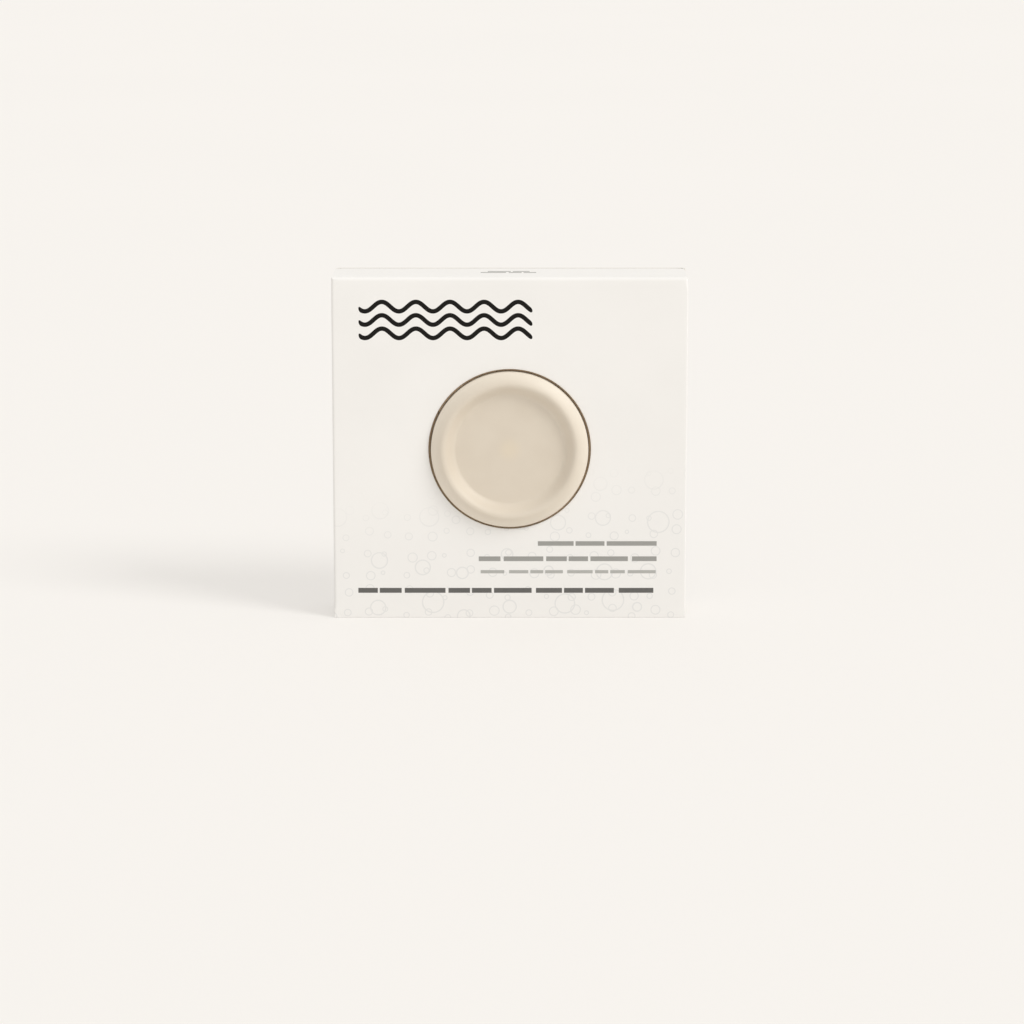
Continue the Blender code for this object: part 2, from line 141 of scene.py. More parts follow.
def add_piece(name, points, face_sets, finishes, body, nodes, slot, finish_index=None):
    """Write a closed mesh with outward faces, and let it stand for its CAD nodes."""
    if sum(enclosed_volume(points, faces) for faces in face_sets) < 0:
        face_sets = [faces[:, ::-1] for faces in face_sets]
    corners = np.concatenate([faces.ravel() for faces in face_sets])
    sizes = np.concatenate([np.full(len(faces), faces.shape[1]) for faces in face_sets])
    mesh = bpy.data.meshes.new(name)
    mesh.vertices.add(len(points))
    mesh.vertices.foreach_set("co", points.astype(np.float32).ravel())
    mesh.loops.add(len(corners))
    mesh.loops.foreach_set("vertex_index", corners.astype(np.int32))
    mesh.polygons.add(len(sizes))
    mesh.polygons.foreach_set("loop_start", (np.cumsum(sizes) - sizes).astype(np.int32))
    if finish_index is not None:
        mesh.polygons.foreach_set("material_index", finish_index.astype(np.int32))
    mesh.update(calc_edges=True)
    mesh.shade_smooth()
    mesh.set_sharp_from_angle(angle=SHARP)
    for finish in finishes:
        mesh.materials.append(finish)
    piece = add_object(name, mesh)
    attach(piece, body)
    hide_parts(*nodes)
    print(name, "-", len(points), "points,", len(sizes), "faces")


print("a grid of 3 by 4 points has", len(grid_quads(3, 4)), "cells")

# %% [markdown]
# ## Node helpers
#
# A material is a graph. `put` places a node and wires its inputs in one call. A `Field` is a
# value that changes over the surface. Each sum or product of fields adds a Math node, so the
# formulas below read as they would on paper. An effect that several finishes share is a node
# group, which only puts out masks and heights that change over the surface. The shader, and
# any number that is the same all over, stay in the material.

# %% Nodes and fields
def fill(tree, node, inputs):
    """Wire the fields among a node's inputs, and set the rest. A colour gets an alpha of 1."""
    for key, value in dict(inputs).items():
        socket = node.inputs[key]
        if isinstance(value, Field):
            tree.links.new(value.socket, socket)
        else:
            socket.default_value = (*value, 1.0) if socket.type == "RGBA" else value


def put(tree, kind, inputs=(), **settings):
    """Add a node, set its properties, and fill its inputs. Gives its outputs as fields, by
    number and by name."""
    node = tree.nodes.new(kind)
    for key, value in settings.items():
        setattr(node, key, value)
    fill(tree, node, inputs)
    outputs = [Field(tree, socket) for socket in node.outputs]
    return dict([*enumerate(outputs), *zip(node.outputs.keys(), outputs)])


class Field:
    """A value that changes over the surface. Each operator or method adds one node."""

    def __init__(self, tree, socket):
        self.tree = tree
        self.socket = socket

    def calc(self, operation, other=0.0, order=(0, 1), clamp=False):
        """A Math node of this field and another. The order is that of their inputs."""
        inputs = {order[0]: self, order[1]: other}
        return put(self.tree, "ShaderNodeMath", inputs, operation=operation, use_clamp=clamp)[0]

    __add__ = partialmethod(calc, "ADD")
    __sub__ = partialmethod(calc, "SUBTRACT")
    __mul__ = partialmethod(calc, "MULTIPLY")
    __truediv__ = partialmethod(calc, "DIVIDE")
    __abs__ = partialmethod(calc, "ABSOLUTE")
    __rsub__ = partialmethod(calc, "SUBTRACT", order=(1, 0))
    __rtruediv__ = partialmethod(calc, "DIVIDE", order=(1, 0))
    sine = partialmethod(calc, "SINE")
    cosine = partialmethod(calc, "COSINE")
    root = partialmethod(calc, "SQRT")
    fraction = partialmethod(calc, "FRACT")
    least = partialmethod(calc, "MINIMUM")
    most = partialmethod(calc, "MAXIMUM")
    above = partialmethod(calc, "GREATER_THAN")

    def vector(self, operation, second=(0.0, 0.0, 0.0), scale=1.0):
        """A vector node with this field first. Input 3 is its scale, output 1 a length."""
        inputs = {0: self, 1: second, 3: scale}
        made = put(self.tree, "ShaderNodeVectorMath", inputs, operation=operation)
        return made[1 if operation == "LENGTH" else 0]

    def noise(self, scale, detail=2.0, output="Fac"):
        """A cloudy noise at this place."""
        inputs = {"Vector": self, "Scale": scale, "Detail": detail}
        return put(self.tree, "ShaderNodeTexNoise", inputs)[output]

    def cells(self, scale):
        """The distance to the nearest of many scattered points."""
        return put(self.tree, "ShaderNodeTexVoronoi", {"Vector": self, "Scale": scale})["Distance"]

    def fade(self, low, high, to_low=0.0, to_high=1.0):
        """A smooth step: to_low below low, to_high above high, an S curve between them."""
        inputs = dict(enumerate((self, low, high, to_low, to_high)))
        return put(self.tree, "ShaderNodeMapRange", inputs, interpolation_type="SMOOTHSTEP")[0]

    def mix(self, first, second):
        """Two colours mixed; this field is the share of the second. Inputs 6 and 7 and output
        2 are the node's colours."""
        return put(self.tree, "ShaderNodeMix", {0: self, 6: first, 7: second}, data_type="RGBA")[2]


print("a field's methods:", [name for name in vars(Field) if name[0] != "_"])


# %% Groups and finishes
def node_group(formula):
    """Make a node group of a formula on fields. Its arguments become inputs, a vector for
    position and a number for the rest, and what it gives becomes outputs."""
    tree = bpy.data.node_groups.new(formula.__name__, "ShaderNodeTree")
    names = [name.capitalize() for name in inspect.signature(formula).parameters]
    for name in names:
        kind = "NodeSocketVector" if name == "Position" else "NodeSocketFloat"
        tree.interface.new_socket(name=name, in_out="INPUT", socket_type=kind)
    given = put(tree, "NodeGroupInput")
    results = formula(*(given[name] for name in names))
    for name in results:
        tree.interface.new_socket(name=name, in_out="OUTPUT", socket_type="NodeSocketFloat")
    put(tree, "NodeGroupOutput", results)
    return tree


class Finish:
    """A material in the making, with its Principled shader and its place on the object."""

    def __init__(self, name, roughness, metallic=0.0):
        self.material = bpy.data.materials.new(name)
        self.material.use_nodes = True
        self.tree = self.material.node_tree
        self.shader = self.tree.nodes["Principled BSDF"]
        self.place = put(self.tree, "ShaderNodeTexCoord")["Object"]
        self.fill({"Roughness": roughness, "Metallic": metallic})

    def fill(self, inputs):
        """Set or wire inputs of the shader."""
        fill(self.tree, self.shader, inputs)

    def use(self, group, **inputs):
        """Place a group with its own values. Gives its outputs."""
        return put(self.tree, "ShaderNodeGroup", inputs, node_tree=group)

    def relief(self, height, strength, distance):
        """Feed a height to the shader's normal through a Bump node."""
        inputs = {"Height": height, "Strength": strength, "Distance": distance}
        self.fill({"Normal": put(self.tree, "ShaderNodeBump", inputs)["Normal"]})

    def axes(self):
        """The place's X, Y and Z as three fields."""
        made = put(self.tree, "ShaderNodeSeparateXYZ", {"Vector": self.place})
        return made["X"], made["Y"], made["Z"]

    def coloured(self, colour):
        """Wire the colour, and give the finished material."""
        self.fill({"Base Color": colour})
        return self.material


print("a finish's methods:", [name for name in vars(Finish) if name[0] != "_"])

# %% [markdown]
# ## Surface effects
#
# Paperboard is pressed from fibres about a millimetre long and a few hundredths thick. Under
# the coating they leave a soft relief, and on the raw sides they show as flecks. A second
# group makes the very slow change of tone of any printed or moulded surface. A third turns
# fine marks round an axis, as a lathe, a press or a mould leaves them on a round part.

# %% Fibres, slow tone and turned marks
BEND_SCALE = 900.0
BEND_REACH = 0.4 * MM
STRETCH = (1.0, 1.0, 0.22)
FIBRE_SHARE = 0.6
FLECK_RANGE = (0.62, 0.72)
NOISE_RANGE = (0.3, 0.7)


@node_group
def fibres(position, grain, length):
    """Height = fine grain plus fibres, a noise that is stretched along the board. Fleck = the
    few strongest fibres, as a mask."""
    bend = position.noise(BEND_SCALE, 1.0, "Color").vector("SCALE", scale=BEND_REACH)
    fibre = position.vector("ADD", bend).vector("MULTIPLY", STRETCH).noise(length)
    height = fibre * FIBRE_SHARE + position.noise(grain, 3.0)
    return {"Height": height, "Fleck": fibre.fade(*FLECK_RANGE)}


@node_group
def slow_tone(position, patch):
    """Tone = a broad noise, stretched to run from 0 to 1 over patches of a set size."""
    return {"Tone": position.noise(1.0 / patch).fade(*NOISE_RANGE)}


@node_group
def turned_marks(position, pitch, spread):
    """Height = a noise that changes quickly with the distance from the holder's axis and
    slowly round it, so it draws fine circles. Radius = that distance."""
    flat = position.vector("SUBTRACT", (0.0, 0.0, window_z)).vector("MULTIPLY", (1.0, 0.0, 1.0))
    radius = flat.vector("LENGTH")
    around = flat.vector("NORMALIZE").vector("SCALE", scale=spread)
    inputs = {"Vector": around, "W": radius / pitch, "Scale": 1.0, "Detail": 2.0}
    marks = put(position.tree, "ShaderNodeTexNoise", inputs, noise_dimensions="4D")
    return {"Height": marks["Fac"], "Radius": radius}


print("groups:", [group.name for group in bpy.data.node_groups])

# %% [markdown]
# ## Print
#
# The carton's print is plain marks: three long waves for water near the top, rows of grey
# bars, and pale bubble rings over the lower third. A picture would blur when seen up close, so
# each mark is a formula: a distance to a curve is compared with half a stroke.

# %% Waves, word bars and bubbles
EDGE = 0.04 * MM
TURN = 2 * math.pi
WORD_SWING = 0.24
WORD_RATE = 1.9
WORD_GAP = 0.7 * MM
WORD_TABLE = 2001
BUBBLE_SCATTER = 0.52
BUBBLE_LEAST = 0.08
BUBBLE_RANGE = 0.16


def within(value, low, high):
    """A mask that is 1 between two bounds and fades over a hair's breadth outside them."""
    return (value - low).least(high - value).fade(-EDGE, EDGE)


@node_group
def wave_stroke(across, up, left, right, middle, swing, length, stroke):
    """Mask = 1 where the height differs from Middle + Swing sin(2 pi Across / Length) by less
    than half a stroke, measured square to the curve, between Left and Right."""
    phase = across / length * TURN
    slope = phase.cosine() * (swing / length) * TURN
    away = abs(up - middle - phase.sine() * swing) / (slope * slope + 1.0).root()
    past = (left - across).most(across - right).most(0.0)
    reach = (away * away + past * past).root()
    return {"Mask": (stroke * 0.5 - reach).fade(-EDGE, EDGE)}


@node_group
def word_bars(across, up, start, pitch, words, middle, tall, seed):
    """Mask = a row of bars like words. Steps = u + swing (sin(rate u + seed) - sin seed), where
    u counts word pitches from the start. Each whole step is one word with a gap at its end."""
    row = within(up, middle - tall * 0.5, middle + tall * 0.5)
    count = (across - start) / pitch
    steps = ((count * WORD_RATE + seed).sine() - seed.sine()) * WORD_SWING + count
    width = abs(pitch)
    line = within(steps * width, 0.0, words * width)
    word = within(steps.fraction() * width, 0.0, width - WORD_GAP)
    return {"Mask": row * line * word}


def word_pitch(start, end, words, seed):
    """The pitch that lets a number of words end at a given place: the steps formula, read
    backwards from a fine table."""
    count = np.linspace(0, 2 * words, WORD_TABLE)
    steps = count + WORD_SWING * (np.sin(WORD_RATE * count + seed) - math.sin(seed))
    return (end - start) / float(np.interp(words, steps, count))


@node_group
def bubble_rings(across, up, cell, line):
    """Mask = thin rings round scattered points. The distance to the nearest point is compared
    with a radius that each cell draws from its own colour, at most a quarter of a cell."""
    tree = across.tree
    spot = put(tree, "ShaderNodeCombineXYZ", {"X": across, "Y": up})[0]
    inputs = {"Vector": spot, "Scale": 1.0 / cell, "Randomness": BUBBLE_SCATTER}
    cells = put(tree, "ShaderNodeTexVoronoi", inputs, voronoi_dimensions="2D")
    draw = put(tree, "ShaderNodeSeparateColor", {"Color": cells["Color"]})[0]
    ring = (draw * BUBBLE_RANGE + BUBBLE_LEAST) * cell
    off = abs(cells["Distance"] * cell - ring)
    return {"Mask": (line * 0.5 - off).fade(-EDGE, EDGE)}


print("print groups:", wave_stroke.name, word_bars.name, bubble_rings.name)

# %% [markdown]
# ## Board finishes
#
# The carton is cut from one sheet of board, so it has three finishes: the coated and printed
# side, the raw reverse, and the cut edge where the layers show. The front has all the print,
# and the back gets two paragraphs of grey bars.

# %% Board
COATED = (0.868, 0.850, 0.822)
COATED_DEEP = (0.846, 0.828, 0.799)
WASH = (0.838, 0.822, 0.796)
RING_TINT = (0.750, 0.742, 0.724)
DRIFT = 0.14
INK_BLACK = (0.006, 0.005, 0.004)
INK_GREY = (0.330, 0.325, 0.305)
INK_PALE = (0.430, 0.425, 0.400)
INK_DARK = (0.130, 0.127, 0.120)
WASH_RANGE = (14 * MM, 40 * MM)
BUBBLES = ((11.5, 0.34), (5.2, 0.26))
WAVE_SIZES = ("Left", "Right", "Middle", "Swing", "Length", "Stroke")


def start_board(name):
    """Coated board without print: its finish with a faint tooth, and a slow change of colour."""
    board = Finish(name, roughness=0.5)
    board.fill({"Specular IOR Level": 0.15})
    grain = board.use(fibres, Position=board.place, Grain=5200.0, Length=2600.0)
    board.relief(grain["Height"], strength=0.10, distance=0.04 * MM)
    tone = board.use(slow_tone, Position=board.place, Patch=30 * MM)["Tone"]
    return board, tone.mix(COATED_DEEP, COATED)


def print_words(board, across, up, colour, start, end, words, middle, tall, seed, ink):
    """Print one row of word bars over a colour; lengths in mm."""
    bars = board.use(word_bars, Across=across, Up=up, Start=start * MM, Middle=middle * MM,
                     Pitch=word_pitch(start, end, words, seed) * MM, Words=words,
                     Tall=tall * MM, Seed=seed)
    return bars["Mask"].mix(colour, ink)


def coated_board(name, bars=(), waves=()):
    """Coated board with a pale wash and bubble rings low down, rising a little to the right,
    and any bars and waves printed on it."""
    board, colour = start_board(name)
    x, y, z = board.axes()
    around = x + y
    low_down = (x * -DRIFT + z).fade(*WASH_RANGE, 1.0, 0.0)
    colour = low_down.mix(colour, WASH)
    for cell, line in BUBBLES:
        rings = board.use(bubble_rings, Across=around, Up=z, Cell=cell * MM, Line=line * MM)
        colour = (rings["Mask"] * low_down).mix(colour, RING_TINT)
    for row in bars:
        colour = print_words(board, x, z, colour, *row)
    for wave in waves:
        sizes = {key: size * MM for key, size in zip(WAVE_SIZES, wave)}
        colour = board.use(wave_stroke, Across=x, Up=z, **sizes)["Mask"].mix(colour, INK_BLACK)
    return board.coloured(colour)


FRONT_WAVES = tuple((-37.6, 5.2, middle, 1.2, 8.6, 1.15) for middle in (80.6, 77.2, 73.8))
# A row of bars is its start, end, words, middle, height, seed and ink
FRONT_BARS = (
    (37.6, 6.3, 3.0, 19.5, 1.2, 3.1, INK_GREY),
    (37.6, -8.4, 6.0, 15.5, 1.25, 0.6, INK_GREY),
    (37.4, -8.0, 8.0, 12.1, 0.85, 1.9, INK_PALE),
    (-38.8, 37.4, 10.0, 7.2, 1.3, 5.2, INK_DARK),
)
BACK_BARS = tuple(
    (34.0, end, words, middle, 1.0, seed, INK_PALE)
    for end, words, middle, seed in (
        (-31.0, 9.0, 70.0, 2.3), (-33.0, 10.0, 66.5, 1.1), (-12.0, 6.0, 63.0, 4.4),
        (-32.0, 9.0, 56.0, 0.2), (-28.0, 8.0, 52.5, 3.7), (-2.0, 5.0, 49.0, 5.6),
    )
)
board_front = coated_board("board_front", FRONT_BARS, FRONT_WAVES)
board_back = coated_board("board_back", BACK_BARS)
board_plain = coated_board("board_plain")
print("printed boards:", board_front.name, board_back.name, board_plain.name)

# %% [markdown]
# The top lid carries two short rows of bars, and the same finish leaves the bottom lid plain.
# A lid lies flat, so they take the carton's depth, Y, as their height, and seen from the front
# they run together into one thin line. The raw reverse and the cut edge show their fibres in
# their colour too, because nothing covers them there.

# %% Lid print, reverse and edges
PAPER_RANGE = (0.55, 1.05)
LID_BARS = (
    (-7.4, 7.4, 3.0, 0.1, 1.3, 2.2, INK_GREY),
    (-5.6, 5.6, 2.0, 2.1, 1.3, 4.0, INK_GREY),
)


def raw_paper(name, pale, deep, fleck, roughness, grain, length, strength):
    """Uncoated paper or card: two tones mixed by the fibres' height, with darker flecks."""
    paper = Finish(name, roughness)
    made = paper.use(fibres, Position=paper.place, Grain=grain, Length=length)
    paper.relief(made["Height"], strength, distance=0.06 * MM)
    colour = made["Height"].fade(*PAPER_RANGE).mix(deep, pale)
    return paper.coloured(made["Fleck"].mix(colour, fleck))


board, plain = start_board("board_lid")
x, y, z = board.axes()
printed = plain
for row in LID_BARS:
    printed = print_words(board, x, y, printed, *row)
board_lid = board.coloured(z.above(HEIGHT / 2).mix(plain, printed))
board_reverse = raw_paper(
    "board_reverse", (0.79, 0.76, 0.70), (0.71, 0.675, 0.61), (0.58, 0.53, 0.46),
    roughness=0.85, grain=4200.0, length=2200.0, strength=0.35)
board_cut = raw_paper(
    "board_cut", (0.85, 0.825, 0.775), (0.76, 0.725, 0.66), (0.66, 0.61, 0.54),
    roughness=0.9, grain=9000.0, length=7000.0, strength=0.5)
card_raw = raw_paper(
    "card_raw", (0.520, 0.385, 0.255), (0.400, 0.290, 0.190), (0.255, 0.175, 0.110),
    roughness=0.88, grain=3600.0, length=1900.0, strength=0.45)
card_cut = raw_paper(
    "card_cut", (0.60, 0.45, 0.305), (0.44, 0.32, 0.205), (0.27, 0.185, 0.115),
    roughness=0.92, grain=8200.0, length=6500.0, strength=0.5)
leaflet_paper = raw_paper(
    "leaflet_paper", (0.845, 0.835, 0.805), (0.800, 0.790, 0.760), (0.740, 0.730, 0.700),
    roughness=0.75, grain=6800.0, length=3600.0, strength=0.15)
liner_paper = raw_paper(
    "liner_paper", (0.690, 0.610, 0.425), (0.630, 0.545, 0.365), (0.560, 0.475, 0.310),
    roughness=0.42, grain=7000.0, length=3800.0, strength=0.12)
print("papers:", [paper.name for paper in (board_reverse, card_raw, leaflet_paper, liner_paper)])

# %% [markdown]
# ## Folding a flat blank
#
# A carton starts as a flat die-cut sheet, and so does each panel here: a flat grid of points
# that a formula rolls round its fold lines. Asking the same formula for a place one board
# thickness deeper gives the reverse side, so the thickness is right even inside a fold. The
# cut edge is the strip between the two sides along every edge that only one cell uses.

# %% The fold formula
FLAT_STEPS = 12
FOLD_STEPS = 10


def roll(distance, line, radius, depth):
    """Bend a sheet round one fold. Up to the fold line nothing moves. Past it the sheet turns
    a quarter circle of the outer radius: along = line + (radius - depth) sin a, and drop =
    radius - (radius - depth) cos a, where a is the distance past the line divided by the
    radius. After the quarter turn it runs straight in. Gives (along, drop)."""
    past = np.maximum(distance - line, 0.0)
    turn = np.minimum(past / radius, QUARTER)
    straight = np.maximum(past - radius * QUARTER, 0.0)
    along = np.minimum(distance, line) + (radius - depth) * np.sin(turn)
    drop = radius - (radius - depth) * np.cos(turn) + straight
    return along, drop


def roll_both(across, half, radius, depth):
    """The same fold on both sides of the middle; half is the folded sheet's half width."""
    along, drop = roll(np.abs(across), half - radius, radius, depth)
    return np.sign(across) * along, drop


def stations(start, line, radius, land, flat_steps, fold_steps):
    """Distances along a flat sheet: even steps to the line, close ones in the fold, and one
    more for the land past it."""
    flat = np.linspace(start, line, flat_steps + 1)
    fold = line + radius * QUARTER * np.linspace(0, 1, fold_steps + 1)[1:]
    return np.concatenate([flat, fold, [fold[-1] + land]])


def both_stations(half, radius, land):
    """Stations mirrored about the middle of a sheet that folds on both sides."""
    one_side = stations(0.0, half - radius, radius, land, FLAT_STEPS, FOLD_STEPS)
    return np.concatenate([-one_side[:0:-1], one_side])


print("a fold of", FOLD / MM, "mm takes", round(FOLD * QUARTER / MM, 2), "mm of board")

# %% [markdown]
# `add_sheet` takes a surface as a function of depth, and closes a sheet from its two sides. It
# finds the free edges without a loop: an edge is free if no other cell runs along it the
# opposite way.

# %% Sheets with a printed side, a reverse and a cut edge
SHEET_CARD = (card_raw, card_raw, card_cut)


def sheet_board(face):
    """The three finishes of a sheet whose outer side is printed or plain."""
    return face, board_reverse, board_cut


def add_sheet(name, surface, *nodes, finishes=sheet_board(board_plain), body="carton",
              slot="board", quads=None, thickness=BOARD):
    """A sheet between its surface at depth 0 and one thickness down, with its cut edge."""
    outer = surface(0.0)
    if quads is None:
        quads = grid_quads(*outer.shape[:2])
    points = np.concatenate([side.reshape(-1, 3) for side in (outer, surface(thickness))])
    count = len(points) // 2
    steps = np.stack([quads, np.roll(quads, -1, axis=1)], axis=-1).reshape(-1, 2)
    forward = steps[:, 0] * count + steps[:, 1]
    backward = steps[:, 1] * count + steps[:, 0]
    free = steps[~np.isin(forward, backward)]
    rim = np.column_stack([free[:, 1], free[:, 0], free[:, 0] + count, free[:, 1] + count])
    faces = np.vstack([quads, quads[:, ::-1] + count, rim])
    finish_index = np.repeat([0, 1, 2], [len(quads), len(quads), len(rim)])
    add_piece(name, points, [faces], finishes, body, nodes, slot, finish_index)


def spread(rows, columns):
    """Two arrays of one shape from a value per row and a value per column."""
    return np.broadcast_arrays(np.asarray(rows)[:, None], np.asarray(columns)[None, :])


print("a board sheet has", [finish.name for finish in sheet_board(board_plain)])

# %% [markdown]
# ## Carton front
#
# The front has a fold on all four sides and a round window. A grid of rings suits it: the
# inner ring is the window's circle, the outer rings follow the rectangle and roll over the
# fold, and those between blend from one to the other. Each side's crease is pressed with its
# own rule, so each fold has its own radius, widest at the lid, where it is opened and closed.
# The window's edge is eased by a tenth of a millimetre, as a die leaves it, and the panel
# bows out by a seventh of a millimetre, because the folded card behind it pushes.

# %% Rings from a circle to a rectangle
RING_SIDE = 64
LIP_RINGS = 5
BLEND_RINGS = 24
FOLD_RINGS = 10
LIP = 0.1 * MM
BOW = 0.14 * MM
LEFT_FOLD = 0.65 * MM
RIGHT_FOLD = 0.3 * MM
FOOT_FOLD = 0.15 * MM
LID_FOLD = 0.9 * MM
RING_GROWTH = 1.2
FOLD_CHANGE = 0.93


def square_walk(samples):
    """Points once round the square from -1 to 1, with an even number along each side."""
    step = np.linspace(-1, 1, samples + 1)[:-1]
    one = np.ones(samples)
    sides = ((step, -one), (one, step), (-step, one), (-one, -step))
    return np.concatenate([np.column_stack(side) for side in sides])


def circle_of(square):
    """The square's points moved along their rays to the circle of radius 1."""
    return square / np.linalg.norm(square, axis=1, keepdims=True)


def smooth_step(value):
    """0 below 0, 1 above 1, and 3 v^2 - 2 v^3 between."""
    v = np.clip(value, 0, 1)
    return v * v * (3 - 2 * v)


def front_sheet(depth):
    """The front, ring by ring: the window's lip, the blend from circle to rectangle, the fold
    and its land. Each side has its own fold radius, and near a corner one eases into the next.
    A fold moves the rectangle's sides out by r sin a while it drops by r - r cos a."""
    square = square_walk(RING_SIDE)
    circle = circle_of(square)
    half = np.array([WIDTH / 2, HEIGHT / 2])
    widen = smooth_step((np.abs(square[:, 1]) - FOLD_CHANGE) / (1 - FOLD_CHANGE))
    end_fold = np.where(square[:, 1] > 0, LID_FOLD, FOOT_FOLD)
    side_fold = np.where(square[:, 0] < 0, LEFT_FOLD, RIGHT_FOLD)
    radius = (side_fold + (end_fold - side_fold) * widen)[:, None]
    core = square * (half - np.maximum(radius, depth))
    ease = QUARTER * np.linspace(1, 0, LIP_RINGS)[:, None]
    lip = circle * (WINDOW_RADIUS + LIP * (1 - np.sin(ease)))[:, :, None]
    lip_depth = depth + (LIP * (1 - np.cos(ease)) if depth == 0 else 0 * ease)
    share = (np.linspace(0, 1, BLEND_RINGS + 1)[1:] ** RING_GROWTH)[:, None, None]
    blend = (1 - share) * circle * (WINDOW_RADIUS + LIP) + share * core
    turn = (QUARTER * np.linspace(0, 1, FOLD_RINGS + 1)[1:])[:, None, None]
    inner_radius = np.maximum(radius - depth, 0.0)
    inset = half - depth - inner_radius
    fold = square * (inset + inner_radius * np.sin(turn))
    fold_depth = (np.maximum(radius, depth) - inner_radius * np.cos(turn))[:, :, 0]
    land = (square * (half - depth))[None]
    rings = np.concatenate([lip, blend, fold, land])
    flat = np.ones((1, len(square)))
    depths = np.concatenate([
        lip_depth * flat, np.full((len(share), 1), depth) * flat, fold_depth, (FOLD + LAND) * flat])
    edge = np.clip(1 - (rings / half) ** 2, 0, 1)
    bow = BOW * edge[:, :, 0] * edge[:, :, 1]
    return np.stack([
        rings[..., 0], front_y + depths - bow, HEIGHT / 2 + rings[..., 1]], axis=-1)


add_sheet("carton_front", front_sheet, "front_panel", finishes=sheet_board(board_front),
          quads=grid_quads(len(front_sheet(0.0)), 4 * RING_SIDE, closed=True))

# %% [markdown]
# ## Carton back, sides and glue flap
#
# These are plain grids. The back folds round both sides: on the right it meets the side panel,
# and on the left it turns inside as the glue flap, so the left side panel ends in a cut edge
# at the back corner. Each side panel folds in at both ends, where its dust flaps begin.

# %% Back and sides
SEAM_X = -WIDTH / 2 + BOARD
SIDE_END = 0.8 * MM
TALL_STEPS = 25
SIDE_STEPS = 13


def back_sheet(depth):
    """The back panel, rolled at both sides. On the left it lies against the inside of the side
    panel, which is glued over it."""
    low_x, high_x = SEAM_X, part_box("back_panel")[1].x
    half = (high_x - low_x) / 2
    across, up = spread(both_stations(half, FOLD, LAND), np.linspace(0, HEIGHT, TALL_STEPS))
    x, drop = roll_both(across, half, FOLD, depth)
    return np.stack([x + (low_x + high_x) / 2, back_y - drop, up], axis=-1)


def side_sheet(side, depth):
    """A side panel, rolled at its top and bottom. It runs from the front's fold to the back's
    fold, and on the glued side a little further, to a free cut edge."""
    low, high = (corner.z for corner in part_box("right_side_panel"))
    half = (high - low) / 2
    end_y = -hinge_y if side > 0 else back_y - SIDE_END
    up, along = spread(both_stations(half, FOLD, LAND), np.linspace(hinge_y, end_y, SIDE_STEPS))
    z, drop = roll_both(up, half, FOLD, depth)
    return np.stack([side * (WIDTH / 2 - drop), along, z + (low + high) / 2], axis=-1)


add_sheet("carton_back", back_sheet, "back_panel", finishes=sheet_board(board_back))
for hand, side in (("right", 1), ("left", -1)):
    add_sheet("carton_side_" + hand, partial(side_sheet, side), hand + "_side_panel")


# %% Glue flap
GLUE_TAPER = 3.0 * MM
GLUE_STEPS = 9


def glue_sheet(depth):
    """The glue flap: a strip from the back's fold forward, whose ends slope in. It touches
    the side panel, because the glue leaves no gap."""
    low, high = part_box("glue_flap")
    start_y = back_y - FOLD - LAND
    share, up = spread(np.linspace(0, 1, GLUE_STEPS), np.linspace(-1, 1, TALL_STEPS))
    half = (high.z - low.z) / 2 - GLUE_TAPER * share
    z = (high.z + low.z) / 2 + up * half
    y = start_y + share * (low.y - start_y)
    return np.stack([0 * y + SEAM_X + depth, y, z], axis=-1)


add_sheet("carton_glue_flap", glue_sheet, "glue_flap")

# %% [markdown]
# ## Lids, tuck flaps and dust flaps
#
# Both ends are alike, turned upside down. A lid hinges at the front's fold and rolls down at
# the back, where its corners are notched so that the tuck flap can slide inside the sides. The
# dust flaps fold in from the sides, with a front edge that slopes back. The free corners of
# both kinds of flap curve in along a quarter circle.

# %% Lid and tuck flap
SEAM = 0.02 * MM
LID_HALF = 44.7 * MM
LID_BACK_FOLD = 0.55 * MM
LID_EXTRA = 0.2 * MM
NOTCH_EASE = 0.6 * MM
TUCK_HALF = 43.0 * MM
TUCK_DEPTH = 10.0 * MM
TUCK_CORNER = 3.5 * MM
CREASE_DROP = 0.15 * MM
CREASE_GAP = 0.28 * MM
WIDE_STEPS = 61
LID_STEPS = 14
lid_back_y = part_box("top_lid")[1].y


def lid_sheet(end_z, inward, depth):
    """A lid. It is cut a little longer than the solid, so that it meets the back panel, and its
    half width steps in at the notches. Its rows lie even on the flat and close at the notches
    and in the fold, and the last is the land's end."""
    reach = lid_back_y + LID_EXTRA - hinge_y
    line = reach - LID_BACK_FOLD
    land = FOLD + LAND - LID_BACK_FOLD
    lengths = np.concatenate([
        np.linspace(SEAM, line - NOTCH_EASE, LID_STEPS),
        line - NOTCH_EASE * np.array([0.75, 0.5, 0.25]),
        stations(line, line, LID_BACK_FOLD, land, 0, FOLD_STEPS)])
    distance, across = spread(lengths, np.linspace(-1, 1, WIDE_STEPS))
    step = smooth_step((distance - line + NOTCH_EASE) / NOTCH_EASE)
    half = LID_HALF + (TUCK_HALF - LID_HALF) * step
    along, drop = roll(distance, line, LID_BACK_FOLD, depth)
    return np.stack([across * half, hinge_y + along, end_z + inward * drop], axis=-1)


def rounded_end(start, end, radius, flat_steps, curve_steps):
    """Distances along a flap, closer where its free corners curve, and how far the corners
    have curved in at each: radius - root(radius^2 - past^2)."""
    turn = end - radius
    curve = turn + radius * np.sin(QUARTER * np.linspace(0, 1, curve_steps))
    lengths = np.concatenate([np.linspace(start, turn, flat_steps)[:-1], curve])
    past = np.clip(lengths - turn, 0, radius)
    return lengths, radius - np.sqrt(radius**2 - past**2)


